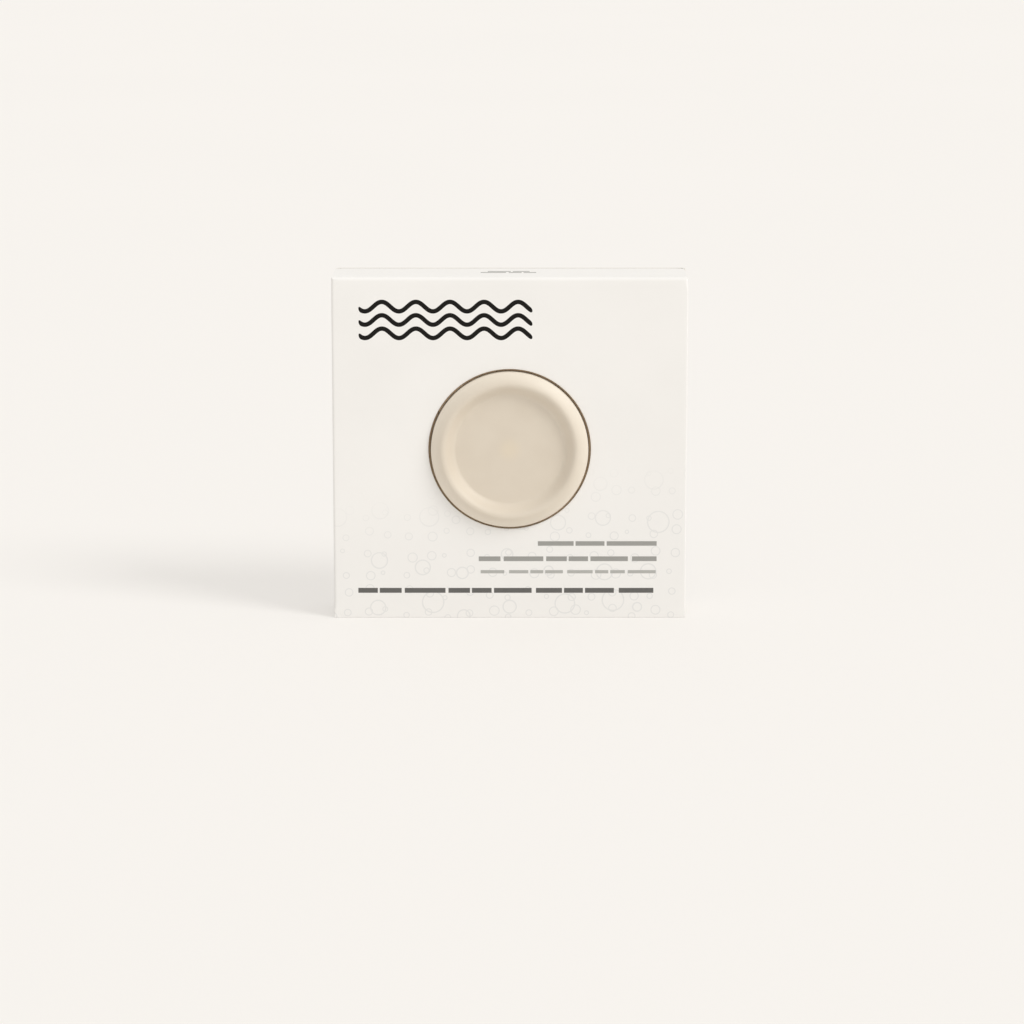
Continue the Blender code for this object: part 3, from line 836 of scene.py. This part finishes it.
def lean_of_tuck():
    """The angle that a tuck flap leans in, so that its tip clears the back as the lid swings.
    The tip lies at (reach - depth sin a, drop + depth cos a) from the hinge, and its distance
    has to equal the reach, which gives a sine of a shifted angle."""
    reach = lid_back_y - hinge_y
    drop = FOLD + LAND + CREASE_DROP
    shift = math.atan2(drop, reach)
    span = 2 * math.hypot(reach, drop)
    return shift + math.asin((drop**2 + TUCK_DEPTH**2) / (TUCK_DEPTH * span))


def tuck_sheet(end_z, inward, depth):
    """A tuck flap that leans in from the lid's crease: a grid of its depth by its width."""
    lean = lean_of_tuck()
    near = CREASE_GAP if depth > 0 else SEAM
    lengths, inset = rounded_end(near, TUCK_DEPTH, TUCK_CORNER, flat_steps=9, curve_steps=13)
    distance, across = spread(lengths, np.linspace(-1, 1, WIDE_STEPS))
    half = TUCK_HALF - inset[:, None]
    along_y = -math.sin(lean) * distance - math.cos(lean) * depth
    along_z = math.cos(lean) * distance - math.sin(lean) * depth
    crease_z = end_z + inward * (FOLD + LAND + CREASE_DROP)
    return np.stack([across * half, lid_back_y + along_y, crease_z + inward * along_z], axis=-1)


print("a tuck flap leans in by", round(math.degrees(lean_of_tuck()), 2), "degrees")

# %% Dust flaps, and both ends put together
FLAP_REACH = 15.0 * MM
FLAP_SLOPE = 0.48
FLAP_SETBACK = 2.2 * MM
FLAP_CORNER = 1.2 * MM
FLAP_LEVEL = 0.8 * MM
FLAP_STEPS = 21


def dust_sheet(side, end_z, inward, depth):
    """A dust flap, from its fold to its tip by its front edge to its back edge. The front edge
    slopes back, the back edge slopes in, and both curl in at the tip's corners."""
    low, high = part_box("top_dust_flap_right")
    lengths, inset = rounded_end(SEAM, FLAP_REACH, FLAP_CORNER, flat_steps=15, curve_steps=9)
    reach, share = spread(lengths, np.linspace(0, 1, FLAP_STEPS))
    front = low.y + FLAP_SLOPE * reach + inset[:, None]
    back = high.y - FLAP_SETBACK * reach / FLAP_REACH - inset[:, None]
    x = side * (WIDTH / 2 - FOLD - LAND - reach)
    z = end_z + inward * (FLAP_LEVEL + depth) + 0 * x
    return np.stack([x, front + (back - front) * share, z], axis=-1)


def add_closing_end(word, end_z, inward):
    """The lid, tuck flap and dust flaps of one end. Each rides on its own body."""
    add_sheet(word + "_lid_board", partial(lid_sheet, end_z, inward), word + "_lid",
              finishes=sheet_board(board_lid), body=word + "_lid")
    add_sheet(word + "_tuck_board", partial(tuck_sheet, end_z, inward), word + "_tuck_flap",
              body=word + "_tuck")
    for hand, side in (("left", -1), ("right", 1)):
        add_sheet(word + "_dust_board_" + hand, partial(dust_sheet, side, end_z, inward),
                  word + "_dust_flap_" + hand, body=word + "_dust_" + hand)


add_closing_end("top", HEIGHT, -1)
add_closing_end("bottom", 0.0, 1)

# %% [markdown]
# ## Folded inner card
#
# Raw brown card carries the holder. Its face has a round pocket a little smaller than the
# window, so a thin brown ring shows all round the holder. The face starts flat: rings run from
# the pocket to a rectangle, and a strip is joined on each side. Points that both share are
# merged by rounding their places. Then the fold formula rolls the strips back. The walls and
# the rear web are one long strip.

# %% Inner card
CARD_FOLD = 0.9 * MM
WELD_STEP = 0.00371 * MM
CARD_RINGS = 22
card_low, card_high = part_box("insert_face")
card_middle = (card_low.z + card_high.z) / 2
card_half_x = card_high.x
card_half_z = (card_high.z - card_low.z) / 2


def weld(patches):
    """Join patches of (points, quads) into one, with shared points kept once."""
    starts = np.cumsum([0] + [len(points) for points, _ in patches])
    points = np.concatenate([points for points, _ in patches])
    quads = np.concatenate([quads + start for (_, quads), start in zip(patches, starts)])
    rounded = np.round(points / WELD_STEP).astype(np.int64)
    _, kept, merged = np.unique(rounded, axis=0, return_index=True, return_inverse=True)
    return points[kept], merged.reshape(-1)[quads]


def flat_card():
    """The card's face before folding: rings round the pocket, then a strip on each side."""
    square = square_walk(RING_SIDE)
    core_x = card_half_x - CARD_FOLD
    lift = window_z - card_middle
    share = (np.linspace(0, 1, CARD_RINGS) ** RING_GROWTH)[:, None, None]
    pocket = circle_of(square) * POCKET_RADIUS + np.array([0.0, lift])
    rectangle = square * np.array([core_x, card_half_z])
    rings = (1 - share) * pocket + share * rectangle
    patches = [(rings.reshape(-1, 2), grid_quads(CARD_RINGS, 4 * RING_SIDE, closed=True))]
    past = stations(core_x, core_x, CARD_FOLD, LAND, flat_steps=0, fold_steps=8)
    for side in (-1, 1):
        x, z = spread(side * past, np.linspace(-1, 1, RING_SIDE + 1) * card_half_z)
        quads = grid_quads(len(past), RING_SIDE + 1)[:, ::side]
        patches.append((np.stack([x, z], axis=-1).reshape(-1, 2), quads))
    return weld(patches)


def fold_card(flat, depth):
    """Roll the flat face at both sides and stand it behind the carton's front."""
    x, drop = roll_both(flat[:, 0], card_half_x, CARD_FOLD, depth)
    return np.column_stack([x, card_low.y + drop, card_middle + flat[:, 1]])


def wrap_sheet(depth):
    """The walls and the web in one strip, rolled at both sides; its outer side looks back."""
    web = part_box("insert_web")
    land = web[1].y - CARD_FOLD - card_high.y
    across, up = spread(both_stations(card_half_x, CARD_FOLD, land),
                        np.linspace(card_low.z, card_high.z, TALL_STEPS))
    x, drop = roll_both(across, card_half_x, CARD_FOLD, depth)
    return np.stack([x, web[1].y - drop, up], axis=-1)


flat_face, face_quads = flat_card()
add_sheet("card_face", partial(fold_card, flat_face), "insert_face", finishes=SHEET_CARD,
          slot="card", quads=face_quads)
add_sheet("card_wrap", wrap_sheet, "insert_left_wall", "insert_right_wall", "insert_web",
          finishes=SHEET_CARD, slot="card")

# %% [markdown]
# ## Turned pieces
#
# The holder and all that it carries are round, so each is a profile of radius and height,
# turned about one axis. `eased` rounds its corners with a short curve, because no moulded or
# pressed edge is knife sharp, and a round edge is what catches the light. The two ends on the
# axis become single points, so no hole or pinch is left at the poles.

# %% Turning a profile
EASE_STEPS = 7
MOST_CUT = 0.45


def eased(corners, setback):
    """Round each inner corner of an open line. The corner C gives way to the curve
    (1 - t)^2 A + 2 t (1 - t) C + t^2 B, where A and B lie a set distance before and after it."""
    corners = np.asarray(corners, float) * MM
    path = np.diff(corners, axis=0)
    length = np.linalg.norm(path, axis=1, keepdims=True)
    cut = np.minimum(setback * MM, np.minimum(length[:-1], length[1:]) * MOST_CUT)
    before = corners[1:-1] - path[:-1] / length[:-1] * cut
    after = corners[1:-1] + path[1:] / length[1:] * cut
    t = np.linspace(0, 1, EASE_STEPS)[None, :, None]
    middle = corners[1:-1, None]
    arcs = (1 - t) ** 2 * before[:, None] + 2 * t * (1 - t) * middle + t**2 * after[:, None]
    rounded = np.concatenate([corners[:1], arcs.reshape(-1, 2), corners[-1:]])
    return rounded[:, 0], rounded[:, 1]


def add_turned(name, radius, height, finish, node, slot, body="holder", steps=144):
    """Turn a profile about the holder's axis. Radius and height may also change round it, as
    grids of rows by steps. Heights count forward from the carton's face."""
    angle = np.arange(steps) * (TURN / steps)
    shape = (len(height), steps)
    radius = np.broadcast_to(np.asarray(radius).reshape(len(radius), -1), shape)
    height = np.broadcast_to(np.asarray(height).reshape(len(height), -1), shape)
    x = radius * np.sin(angle)
    z = window_z + radius * np.cos(angle)
    grid = np.stack([x, front_y - height, z], axis=-1)
    rows = len(grid) - 2
    points = np.concatenate([grid[1:-1].reshape(-1, 3), grid[:1, 0], grid[-1:, 0]])
    here = np.arange(steps)
    ahead = np.roll(here, -1)
    last = (rows - 1) * steps
    pole = np.full(steps, rows * steps)
    first_fan = np.column_stack([ahead, here, pole])
    last_fan = np.column_stack([last + here, last + ahead, pole + 1])
    faces = [grid_quads(rows, steps, closed=True), first_fan, last_fan]
    add_piece(name, points, faces, (finish,), body, [node], slot)


print("an eased corner is drawn with", EASE_STEPS, "points")

# %% [markdown]
# ## Plastic and metal finishes
#
# The holder is moulded from recycled nylon: a warm sand colour, matt to satin, with a very
# fine texture, a few faint specks, and a warmer spot in the middle of the dish, where the
# plastic came in. The steel parts keep the fine circles of their pressing, and the magnet has
# a bright nickel coat.

# %% Nylon, steel, nickel and foam
# Radii over which the nylon turns paler towards its rim: painted light through the thin edge.
RIM_RANGE = (16.6 * MM, 19.8 * MM)
GATE_RANGE = (0.5 * MM, 4.0 * MM)
GATE_SHARE = 0.55
SPECK_RANGE = (0.10, 0.16)
SPECK_SHARE = 0.22
MARKS_SHARE = 0.15
TURNED_RANGE = (0.35, 0.65)
FOAM_RANGE = (0.15, 0.6)
FOAM_DEEP = (0.66, 0.66, 0.64)
FOAM_PALE = (0.82, 0.82, 0.80)


def moulded_nylon(name, pale, deep, warm, rim, roughness):
    """Sand coloured nylon: slow tone, faint specks, a warm spot at the gate, a fine skin, and a
    paler rim painted into the colour: painted light, standing in for light through the thin edge."""
    nylon = Finish(name, roughness)
    tone = nylon.use(slow_tone, Position=nylon.place, Patch=9 * MM)["Tone"]
    marks = nylon.use(turned_marks, Position=nylon.place, Pitch=0.9 * MM, Spread=2.0)
    spot = marks["Radius"].fade(*GATE_RANGE, GATE_SHARE, 0.0)
    colour = spot.mix(tone.mix(deep, pale), warm)
    # Painted light: the outer edge is coloured paler, standing in for light that passes through the
    # thin edge.
    colour = marks["Radius"].fade(*RIM_RANGE).mix(colour, rim)
    speck = nylon.place.cells(scale=1100.0).fade(*SPECK_RANGE, SPECK_SHARE, 0.0)
    skin = nylon.place.noise(scale=5200.0)
    nylon.fill({"Roughness": skin.fade(*NOISE_RANGE, roughness - 0.04, roughness + 0.05)})
    nylon.relief(marks["Height"] * MARKS_SHARE + skin, strength=0.12, distance=0.03 * MM)
    return nylon.coloured(speck.mix(colour, deep))


def turned_metal(name, pale, deep, roughness, pitch, strength):
    """Metal with fine circles round the axis, in its colour, its gloss and its relief."""
    metal = Finish(name, roughness, metallic=1.0)
    marks = metal.use(turned_marks, Position=metal.place, Pitch=pitch, Spread=1.5)["Height"]
    metal.fill({"Roughness": marks.fade(*NOISE_RANGE, roughness + 0.07, roughness - 0.05)})
    metal.relief(marks, strength, distance=0.02 * MM)
    return metal.coloured(marks.fade(*TURNED_RANGE).mix(deep, pale))


# The fourth colour of each nylon is its painted rim light, paler than the plastic itself.
nylon_cup = moulded_nylon(
    "nylon_cup", (0.691, 0.615, 0.510), (0.670, 0.592, 0.487), (0.722, 0.622, 0.475),
    (0.757, 0.682, 0.574), roughness=0.49)
nylon_cover = moulded_nylon(
    "nylon_cover", (0.690, 0.595, 0.470), (0.655, 0.560, 0.438), (0.690, 0.595, 0.470),
    (0.720, 0.625, 0.500), roughness=0.52)
nickel_coat = turned_metal(
    "nickel_coat", (0.68, 0.66, 0.61), (0.60, 0.58, 0.54),
    roughness=0.2, pitch=0.3 * MM, strength=0.06)
zinc_coat = turned_metal(
    "zinc_coat", (0.58, 0.59, 0.61), (0.47, 0.48, 0.50),
    roughness=0.34, pitch=0.25 * MM, strength=0.15)
pressed_steel = turned_metal(
    "pressed_steel", (0.64, 0.64, 0.65), (0.53, 0.53, 0.54),
    roughness=0.28, pitch=0.18 * MM, strength=0.18)
foam = Finish("foam_cells", roughness=0.8)
pores = foam.place.cells(scale=2600.0)
foam.relief(pores, strength=0.5, distance=0.08 * MM)
foam_cells = foam.coloured(pores.fade(*FOAM_RANGE).mix(FOAM_DEEP, FOAM_PALE))
print("materials so far:", len(bpy.data.materials))

# %% [markdown]
# ## The holder
#
# The cup is one profile. The dish has a flat floor, an S-curved ramp, a narrow crest and a
# shoulder that falls away faster and faster, so the light runs round it in soft crescents.
# Behind are a recess for the cover, and a collar round the magnet's steel cup.

# %% Holder cup
CREST = 3.0
FLOOR = 0.6
DISH = 13.6
RAMP_END = 17.0
SHOULDER = 2.8
SHOULDER_DROP = 1.9
SHOULDER_CURVE = 1.4
SHOULDER_END = 0.86
REAR = -7.5
GATE_DEPTH = 0.05
GATE_WIDTH = 1.2
CUP_STEPS = 25
SHOULDER_GROWTH = 1.3
RECESS = 18.4
LEDGE = -6.0
BORE = 17.2
CEILING = -0.6
COLLAR_OUTSIDE = 13.0
COLLAR_INSIDE = 11.8
COLLAR_END = -2.8


def cup_profile():
    """Radius and height of the cup's section, from the middle of the dish round to the middle
    of the recess. The floor dips at the gate by a bell curve, the ramp is half a cosine wave,
    and the shoulder drops by a power of its share of the width. Then come the side, the rim at
    the back, the ledge and the collar."""
    near_gate = np.linspace(0.25, 3.0, 10)
    floor = np.concatenate([[0.0], near_gate, np.linspace(3.8, DISH, 12)])
    floor_height = FLOOR - GATE_DEPTH * np.exp(-((floor / GATE_WIDTH) ** 2))
    share = np.linspace(0, 1, CUP_STEPS)[1:]
    ramp = DISH + (RAMP_END - DISH) * share
    ramp_height = FLOOR + (CREST - FLOOR) * (1 - np.cos(math.pi * share)) / 2
    side = HOLDER_RADIUS / MM
    along = SHOULDER_END * np.linspace(0, 1, CUP_STEPS) ** SHOULDER_GROWTH
    shoulder = side - SHOULDER * (1 - along)
    shoulder_height = CREST - SHOULDER_DROP * along**SHOULDER_CURVE
    front = MM * np.array([
        np.concatenate([floor, ramp, shoulder[:-1]]),
        np.concatenate([floor_height, ramp_height, shoulder_height[:-1]])])
    corners = [
        (shoulder[-1], shoulder_height[-1]), (side, CREST - SHOULDER_DROP), (side, REAR),
        (RECESS, REAR), (RECESS, LEDGE), (BORE, LEDGE), (BORE, CEILING),
        (COLLAR_OUTSIDE, CEILING), (COLLAR_OUTSIDE, COLLAR_END), (COLLAR_INSIDE, COLLAR_END),
        (COLLAR_INSIDE, CEILING), (0.0, CEILING)]
    return np.concatenate([front, eased(corners, setback=0.25)], axis=1)


add_turned("holder_cup_moulded", *cup_profile(), nylon_cup, "holder_cup", "nylon", steps=240)

# %% [markdown]
# ## What the holder carries
#
# Behind the dish sit the magnet and its steel keeper, a cover disc, a foam pad and the paper
# liner over the pad's glue. The liner has a pull tab, so its outline is the larger of two
# distances: the disc's radius, and the ray's distance to the tab's sides and end.

# %% Magnet, keeper, cover and pad
magnet_shape = [(0, -0.9), (10.0, -0.9), (10.0, -3.9), (0, -3.9)]
keeper_shape = [(0, -4.2), (10.3, -4.2), (10.3, -0.9), (11.5, -0.9), (11.5, -5.4), (0, -5.4)]
cover_shape = [(0, -5.7), (8.0, -5.7), (8.0, -6.3), (18.1, -6.3), (18.1, REAR), (0, REAR)]
pad_shape = [(0, -7.8), (16.5, -7.8), (16.5, -8.8), (0, -8.8)]
for piece_name, shape, setback, finish, node, slot in (
    ("magnet_disc", magnet_shape, 0.35, nickel_coat, "magnet", "nickel"),
    ("keeper_cup", keeper_shape, 0.3, zinc_coat, "keeper", "zinc_steel"),
    ("cover_disc", cover_shape, 0.2, nylon_cover, "back_cover", "nylon"),
    ("pad_disc", pad_shape, 0.12, foam_cells, "adhesive_pad", "foam"),
):
    add_turned(piece_name, *eased(shape, setback), finish, node, slot)

# %% Liner
LINER_RADIUS = 16.8 * MM
LINER_FRONT = -9.1 * MM
LINER_BACK = -9.3 * MM
TAB_HALF = 4.5 * MM
TAB_END = 19.2 * MM
LINER_STEPS = 480
LINER_RINGS = 14
BOX_POWER = 16


def liner_outline():
    """Distance from the axis to the liner's edge for each angle, 0 being straight up. The
    tab's outline is a rounded box, from a high power of its across and up shares."""
    angle = np.arange(LINER_STEPS) * (TURN / LINER_STEPS)
    across = np.abs(np.sin(angle)) / TAB_HALF
    up = np.maximum(np.cos(angle), 0.0) / TAB_END
    tab = np.where(np.cos(angle) > 0, (across**BOX_POWER + up**BOX_POWER) ** (-1 / BOX_POWER), 0.0)
    return np.maximum(LINER_RADIUS, tab)


outward = np.linspace(0, 1, LINER_RINGS)
liner_share = np.concatenate([outward, outward[::-1]])[:, None]
liner_height = np.repeat([LINER_FRONT, LINER_BACK], LINER_RINGS)
add_turned("liner_sheet", liner_share * liner_outline(), liner_height, liner_paper,
           "release_liner", "liner", steps=LINER_STEPS)

# %% [markdown]
# ## Soap plate
#
# The plate is a pressed steel cap whose skirt is cut into twelve teeth. They are pushed into
# the soap, and the magnet holds the plate. It is a turned grid too, but the skirt's free edge
# changes round the axis: a wave of straight flanks with blunt tips.

# %% Soap plate
TEETH = 12
TOOTH_SAMPLES = 20
PLATE_STEPS = TEETH * TOOTH_SAMPLES
WALL_STEPS = 8
PLATE_RADIUS = 12.8
PLATE_WALL = 0.6
PLATE_FACE = -10.4
PLATE_EDGE = 1.2
SKIRT = 5.2
ROOT = 1.6
FLANK = 4.6


def skirt_edge():
    """Depth of the skirt's free edge for each angle: from the root between two teeth it grows
    with a straight flank, up to the full skirt."""
    phase = np.arange(PLATE_STEPS) / TOOTH_SAMPLES
    from_tooth = np.abs(phase - np.round(phase)) * 2
    return np.minimum(SKIRT, ROOT + FLANK * (1 - from_tooth))


edge_depth = skirt_edge()
bore = PLATE_RADIUS - PLATE_WALL
top_radius, top_height = eased(
    [(0, 0), (PLATE_RADIUS, 0), (PLATE_RADIUS, -PLATE_EDGE)], setback=0.5)
under_radius, under_height = eased(
    [(bore, -PLATE_EDGE), (bore, -PLATE_WALL), (0, -PLATE_WALL)], setback=0.25)
down = np.linspace(0, 1, WALL_STEPS + 1)[1:, None]
wall = -(PLATE_EDGE + (edge_depth - PLATE_EDGE) * down) * MM
plate_radius = np.concatenate([
    top_radius, np.repeat([PLATE_RADIUS * MM, bore * MM], WALL_STEPS), under_radius])
flat_rows = np.ones(PLATE_STEPS)
plate_height = np.concatenate([
    top_height[:, None] * flat_rows, wall, wall[::-1], under_height[:, None] * flat_rows])
add_turned("soap_plate_pressed", plate_radius, plate_height + PLATE_FACE * MM, pressed_steel,
           "soap_plate", "plate_steel", body="carton", steps=PLATE_STEPS)

# %% [markdown]
# ## Leaflet
#
# A sheet of thin paper folded in three stands against the back panel. Its section is one
# path: three straight runs joined by two half circles. The paper's two sides are that path
# moved half a thickness along its normals.

# %% Leaflet
PAPER = 0.1 * MM
LEAF_STEPS = 21
LEAF_ROWS = 13
BEND_STEPS = 10
leaf_low, leaf_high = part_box("leaflet")
LEAF_PITCH = (leaf_high.y - leaf_low.y - PAPER) / 2


def leaflet_path():
    """The folded section as (x, y) points: right, round, left, round, right."""
    bend = LEAF_PITCH / 2
    reach = leaf_high.x - bend - PAPER / 2
    middle = (leaf_low.y + leaf_high.y) / 2
    run = np.linspace(-reach, reach, LEAF_STEPS)
    turn = math.pi * (np.linspace(0, 1, BEND_STEPS)[1:-1] - 0.5)
    right = np.column_stack([reach + bend * np.cos(turn), bend * np.sin(turn) - bend])
    left = np.column_stack([-reach - bend * np.cos(turn), bend * np.sin(turn) + bend])
    runs = [np.column_stack([run[::step], 0 * run + level])
            for step, level in ((1, -2 * bend), (-1, 0.0), (1, 2 * bend))]
    path = np.concatenate([runs[0], right, runs[1], left, runs[2]])
    return path + np.array([0.0, middle])


def leaflet_sheet(depth):
    """The path moved along its normals, swept from the leaflet's foot to its head."""
    path = leaflet_path()
    run = np.gradient(path, axis=0)
    run /= np.linalg.norm(run, axis=1, keepdims=True)
    moved = path + (PAPER / 2 - depth) * np.column_stack([run[:, 1], -run[:, 0]])
    height = np.linspace(leaf_low.z, leaf_high.z, LEAF_ROWS)
    x, z = spread(moved[:, 0], height)
    y, _ = spread(moved[:, 1], height)
    return np.stack([x, y, z], axis=-1)


add_sheet("leaflet_folded", leaflet_sheet, "leaflet", finishes=(leaflet_paper,) * 3,
          slot="leaflet_paper", thickness=PAPER)

# %% [markdown]
# ## Floor, light and camera
#
# A plain pale floor carries the carton's soft shadow. The world gives an even warm white
# light, and rays from the camera, or off something glossy, see the pale backdrop instead. The
# floor is mixed with the same backdrop for those rays, so it runs into it without a horizon.
# One soft sun from the right and above grazes the front, which draws the crescents in the dish
# and the faint shadow left of it. The camera has a long lens and looks down by 11.7 degrees.

# %% Floor
FLOOR_HALF = 4.0
FLOOR_DEEP = (0.868, 0.844, 0.814)
FLOOR_PALE = (0.876, 0.852, 0.822)
BACKDROP = (0.936, 0.902, 0.857)
BACKDROP_SHARE = 0.45


def direct_rays(tree):
    """1 for a ray from the camera, off something glossy or through something clear, else 0."""
    rays = put(tree, "ShaderNodeLightPath")
    seen = rays["Is Camera Ray"] + rays["Is Glossy Ray"]
    return seen.calc("ADD", rays["Is Transmission Ray"], clamp=True)


def mix_shaders(tree, share, first, second):
    """Two shaders mixed, with a share of the second."""
    return put(tree, "ShaderNodeMixShader", {0: share, 1: first, 2: second})[0]


def pale_floor():
    """Matt paint with a slow change of tone and a very fine tooth. What the camera sees of it
    is mixed with the plain backdrop, which keeps the shadow as light as in a studio."""
    paint = Finish("pale_floor", roughness=0.7)
    tree = paint.tree
    tone = paint.use(slow_tone, Position=paint.place, Patch=0.35)["Tone"]
    paint.relief(paint.place.noise(scale=1500.0), strength=0.05, distance=0.05 * MM)
    paint.fill({"Base Color": tone.mix(FLOOR_DEEP, FLOOR_PALE)})
    matt = Field(tree, paint.shader.outputs[0])
    glow = put(tree, "ShaderNodeEmission", {"Color": BACKDROP, "Strength": 1.0})[0]
    mixed = mix_shaders(tree, direct_rays(tree) * BACKDROP_SHARE, matt, glow)
    fill(tree, tree.nodes["Material Output"], {"Surface": mixed})
    return paint.material


floor_mesh = bpy.data.meshes.new("floor")
floor_corners = FLOOR_HALF * np.array([(-1, -1, 0), (1, -1, 0), (1, 1, 0), (-1, 1, 0)])
floor_mesh.from_pydata(floor_corners.tolist(), [], [(0, 1, 2, 3)])
floor_mesh.materials.append(pale_floor())
add_object("floor", floor_mesh)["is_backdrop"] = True
print("floor side in m:", 2 * FLOOR_HALF)

# %% World and lamp
SKY = (1.0, 0.99, 0.975)
SKY_STRENGTH = 0.783
KEY_DIRECTION = (0.58, -0.38, 0.60)
KEY_SPREAD = 24.0
KEY_STRENGTH = 0.445
KEY_COLOUR = (0.985, 0.985, 0.975)

world = bpy.data.worlds.new("studio")
bpy.context.scene.world = world
world.use_nodes = True
world_tree = world.node_tree
world_tree.nodes.clear()
sky = put(world_tree, "ShaderNodeBackground", {"Color": SKY, "Strength": SKY_STRENGTH})[0]
backdrop = put(world_tree, "ShaderNodeBackground", {"Color": BACKDROP, "Strength": 1.0})[0]
chosen = mix_shaders(world_tree, direct_rays(world_tree), sky, backdrop)
put(world_tree, "ShaderNodeOutputWorld", {"Surface": chosen})

key_light = bpy.data.lights.new("key_light", "SUN")
key_light.angle = math.radians(KEY_SPREAD)
key_light.color = KEY_COLOUR
key_light.energy = KEY_STRENGTH * math.pi
key_lamp = add_object("key_light", key_light)
key_lamp.rotation_euler = Vector(KEY_DIRECTION).to_track_quat("Z", "Y").to_euler()
print("key light on a face square to it:", round(key_light.energy / math.pi, 2))

# %% Camera
FOCAL_PIXELS = 3600.0
FRAME_PIXELS = 1024.0
SENSOR = 36.0
CAMERA_PLACE = (0.0006, -0.9086, 0.2140)
CAMERA_DOWN = 11.7

camera_data = bpy.data.cameras.new("camera")
camera_data.sensor_width = SENSOR
camera_data.lens = FOCAL_PIXELS / FRAME_PIXELS * SENSOR
camera_data.clip_start = 0.01
camera = add_object("camera", camera_data)
camera.location = CAMERA_PLACE
camera.rotation_euler = (math.radians(90.0 - CAMERA_DOWN), 0.0, 0.0)
bpy.context.scene.camera = camera
bpy.context.scene.view_settings.view_transform = "Standard"
print("lens in mm:", round(camera_data.lens, 2))

bpy.context.view_layer.update()
visual_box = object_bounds()
boxes = {"cad": cad_box, "visual": visual_box}
print("visual box in mm:", [round(side / MM, 2) for side in visual_box[1] - visual_box[0]])
